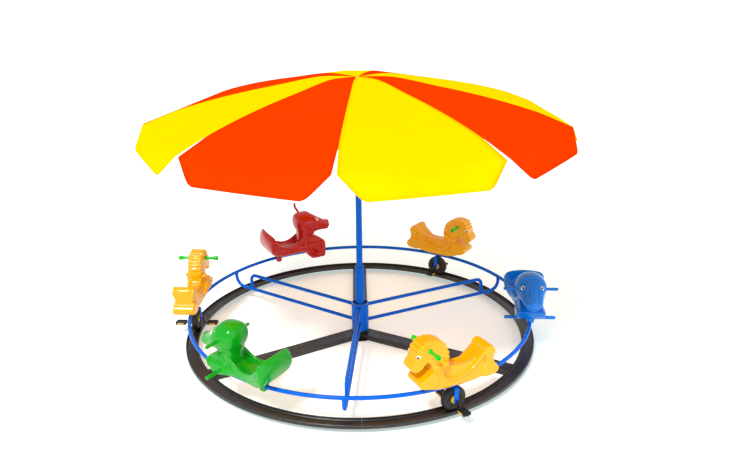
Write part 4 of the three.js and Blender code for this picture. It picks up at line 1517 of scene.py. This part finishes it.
    def pedal(self, middle):
        """Two toothed treads and two end plates round the spindle's barrel."""
        bm = bmesh.new()
        low = AXLE_HEIGHT - CRANK_LENGTH
        tread = 0.014
        teeth = 7
        pitch = 0.0125
        for way in (-1, 1):
            x = way * (PEDAL_LENGTH - tread) / 2
            brick(bm, (tread, PEDAL_WIDTH, PEDAL_THICK - 0.003), (x, middle, low), 0.0025)
            for k in range(teeth):
                y = middle + (k - teeth // 2) * pitch
                brick(bm, (tread - 0.002, 0.006, PEDAL_THICK), (x, y, low), 0.001, 1)
        half = PEDAL_WIDTH / 2
        for way in (-1, 1):
            y = middle + way * (half - 0.005)
            brick(bm, (PEDAL_LENGTH - 0.006, 0.01, PEDAL_THICK - 0.004), (0, y, low), 0.002)
        barrel = [(0.0068, -half), (0.0105, -half), (0.0108, 0), (0.0105, half), (0.0068, half)]
        merge_into(bm, revolve(barrel, 24), self.across(middle, low))
        return bm

    def reflectors(self, middle):
        """A reflector on the front and the back of a pedal."""
        bm = bmesh.new()
        for way in (-1, 1):
            x = way * (PEDAL_LENGTH / 2 - 0.0004)
            brick(bm, (0.0024, 0.05, 0.011), (x, middle, AXLE_HEIGHT - CRANK_LENGTH), 0.0008)
        return bm


class ROUNDABOUT_PT_panel(bpy.types.Panel):
    """The roundabout's pieces, finishes and sizes"""

    bl_idname = "ROUNDABOUT_PT_panel"
    bl_label = "Roundabout"
    bl_space_type = "VIEW_3D"
    bl_region_type = "UI"
    bl_category = "Roundabout"

    def draw(self, context):
        for operator in OPERATORS:
            self.layout.operator(operator.bl_idname)
        for group in (colours(), sizes()):
            for name in group.bl_rna.properties.keys():
                if name not in ("rna_type", "name"):
                    self.layout.prop(group, name)


OPERATORS = (
    ROUNDABOUT_OT_stage,
    ROUNDABOUT_OT_base,
    ROUNDABOUT_OT_pole,
    ROUNDABOUT_OT_hub,
    ROUNDABOUT_OT_ring,
    ROUNDABOUT_OT_canopy,
    ROUNDABOUT_OT_canopy_frame,
    ROUNDABOUT_OT_lions,
    ROUNDABOUT_OT_dogs,
    ROUNDABOUT_OT_wheels,
)
CLASSES = (RoundaboutColours, RoundaboutSizes) + OPERATORS + (ROUNDABOUT_PT_panel,)


def register():
    for item in CLASSES:
        bpy.utils.register_class(item)
    bpy.types.Scene.roundabout_colours = bpy.props.PointerProperty(type=RoundaboutColours)
    bpy.types.Scene.roundabout_sizes = bpy.props.PointerProperty(type=RoundaboutSizes)


def unregister():
    del bpy.types.Scene.roundabout_sizes
    del bpy.types.Scene.roundabout_colours
    for item in reversed(CLASSES):
        bpy.utils.unregister_class(item)


def main():
    register()
    for operator in OPERATORS:
        group, name = operator.bl_idname.split(".")
        getattr(getattr(bpy.ops, group), name)()


if __name__ == "__main__":
    main()
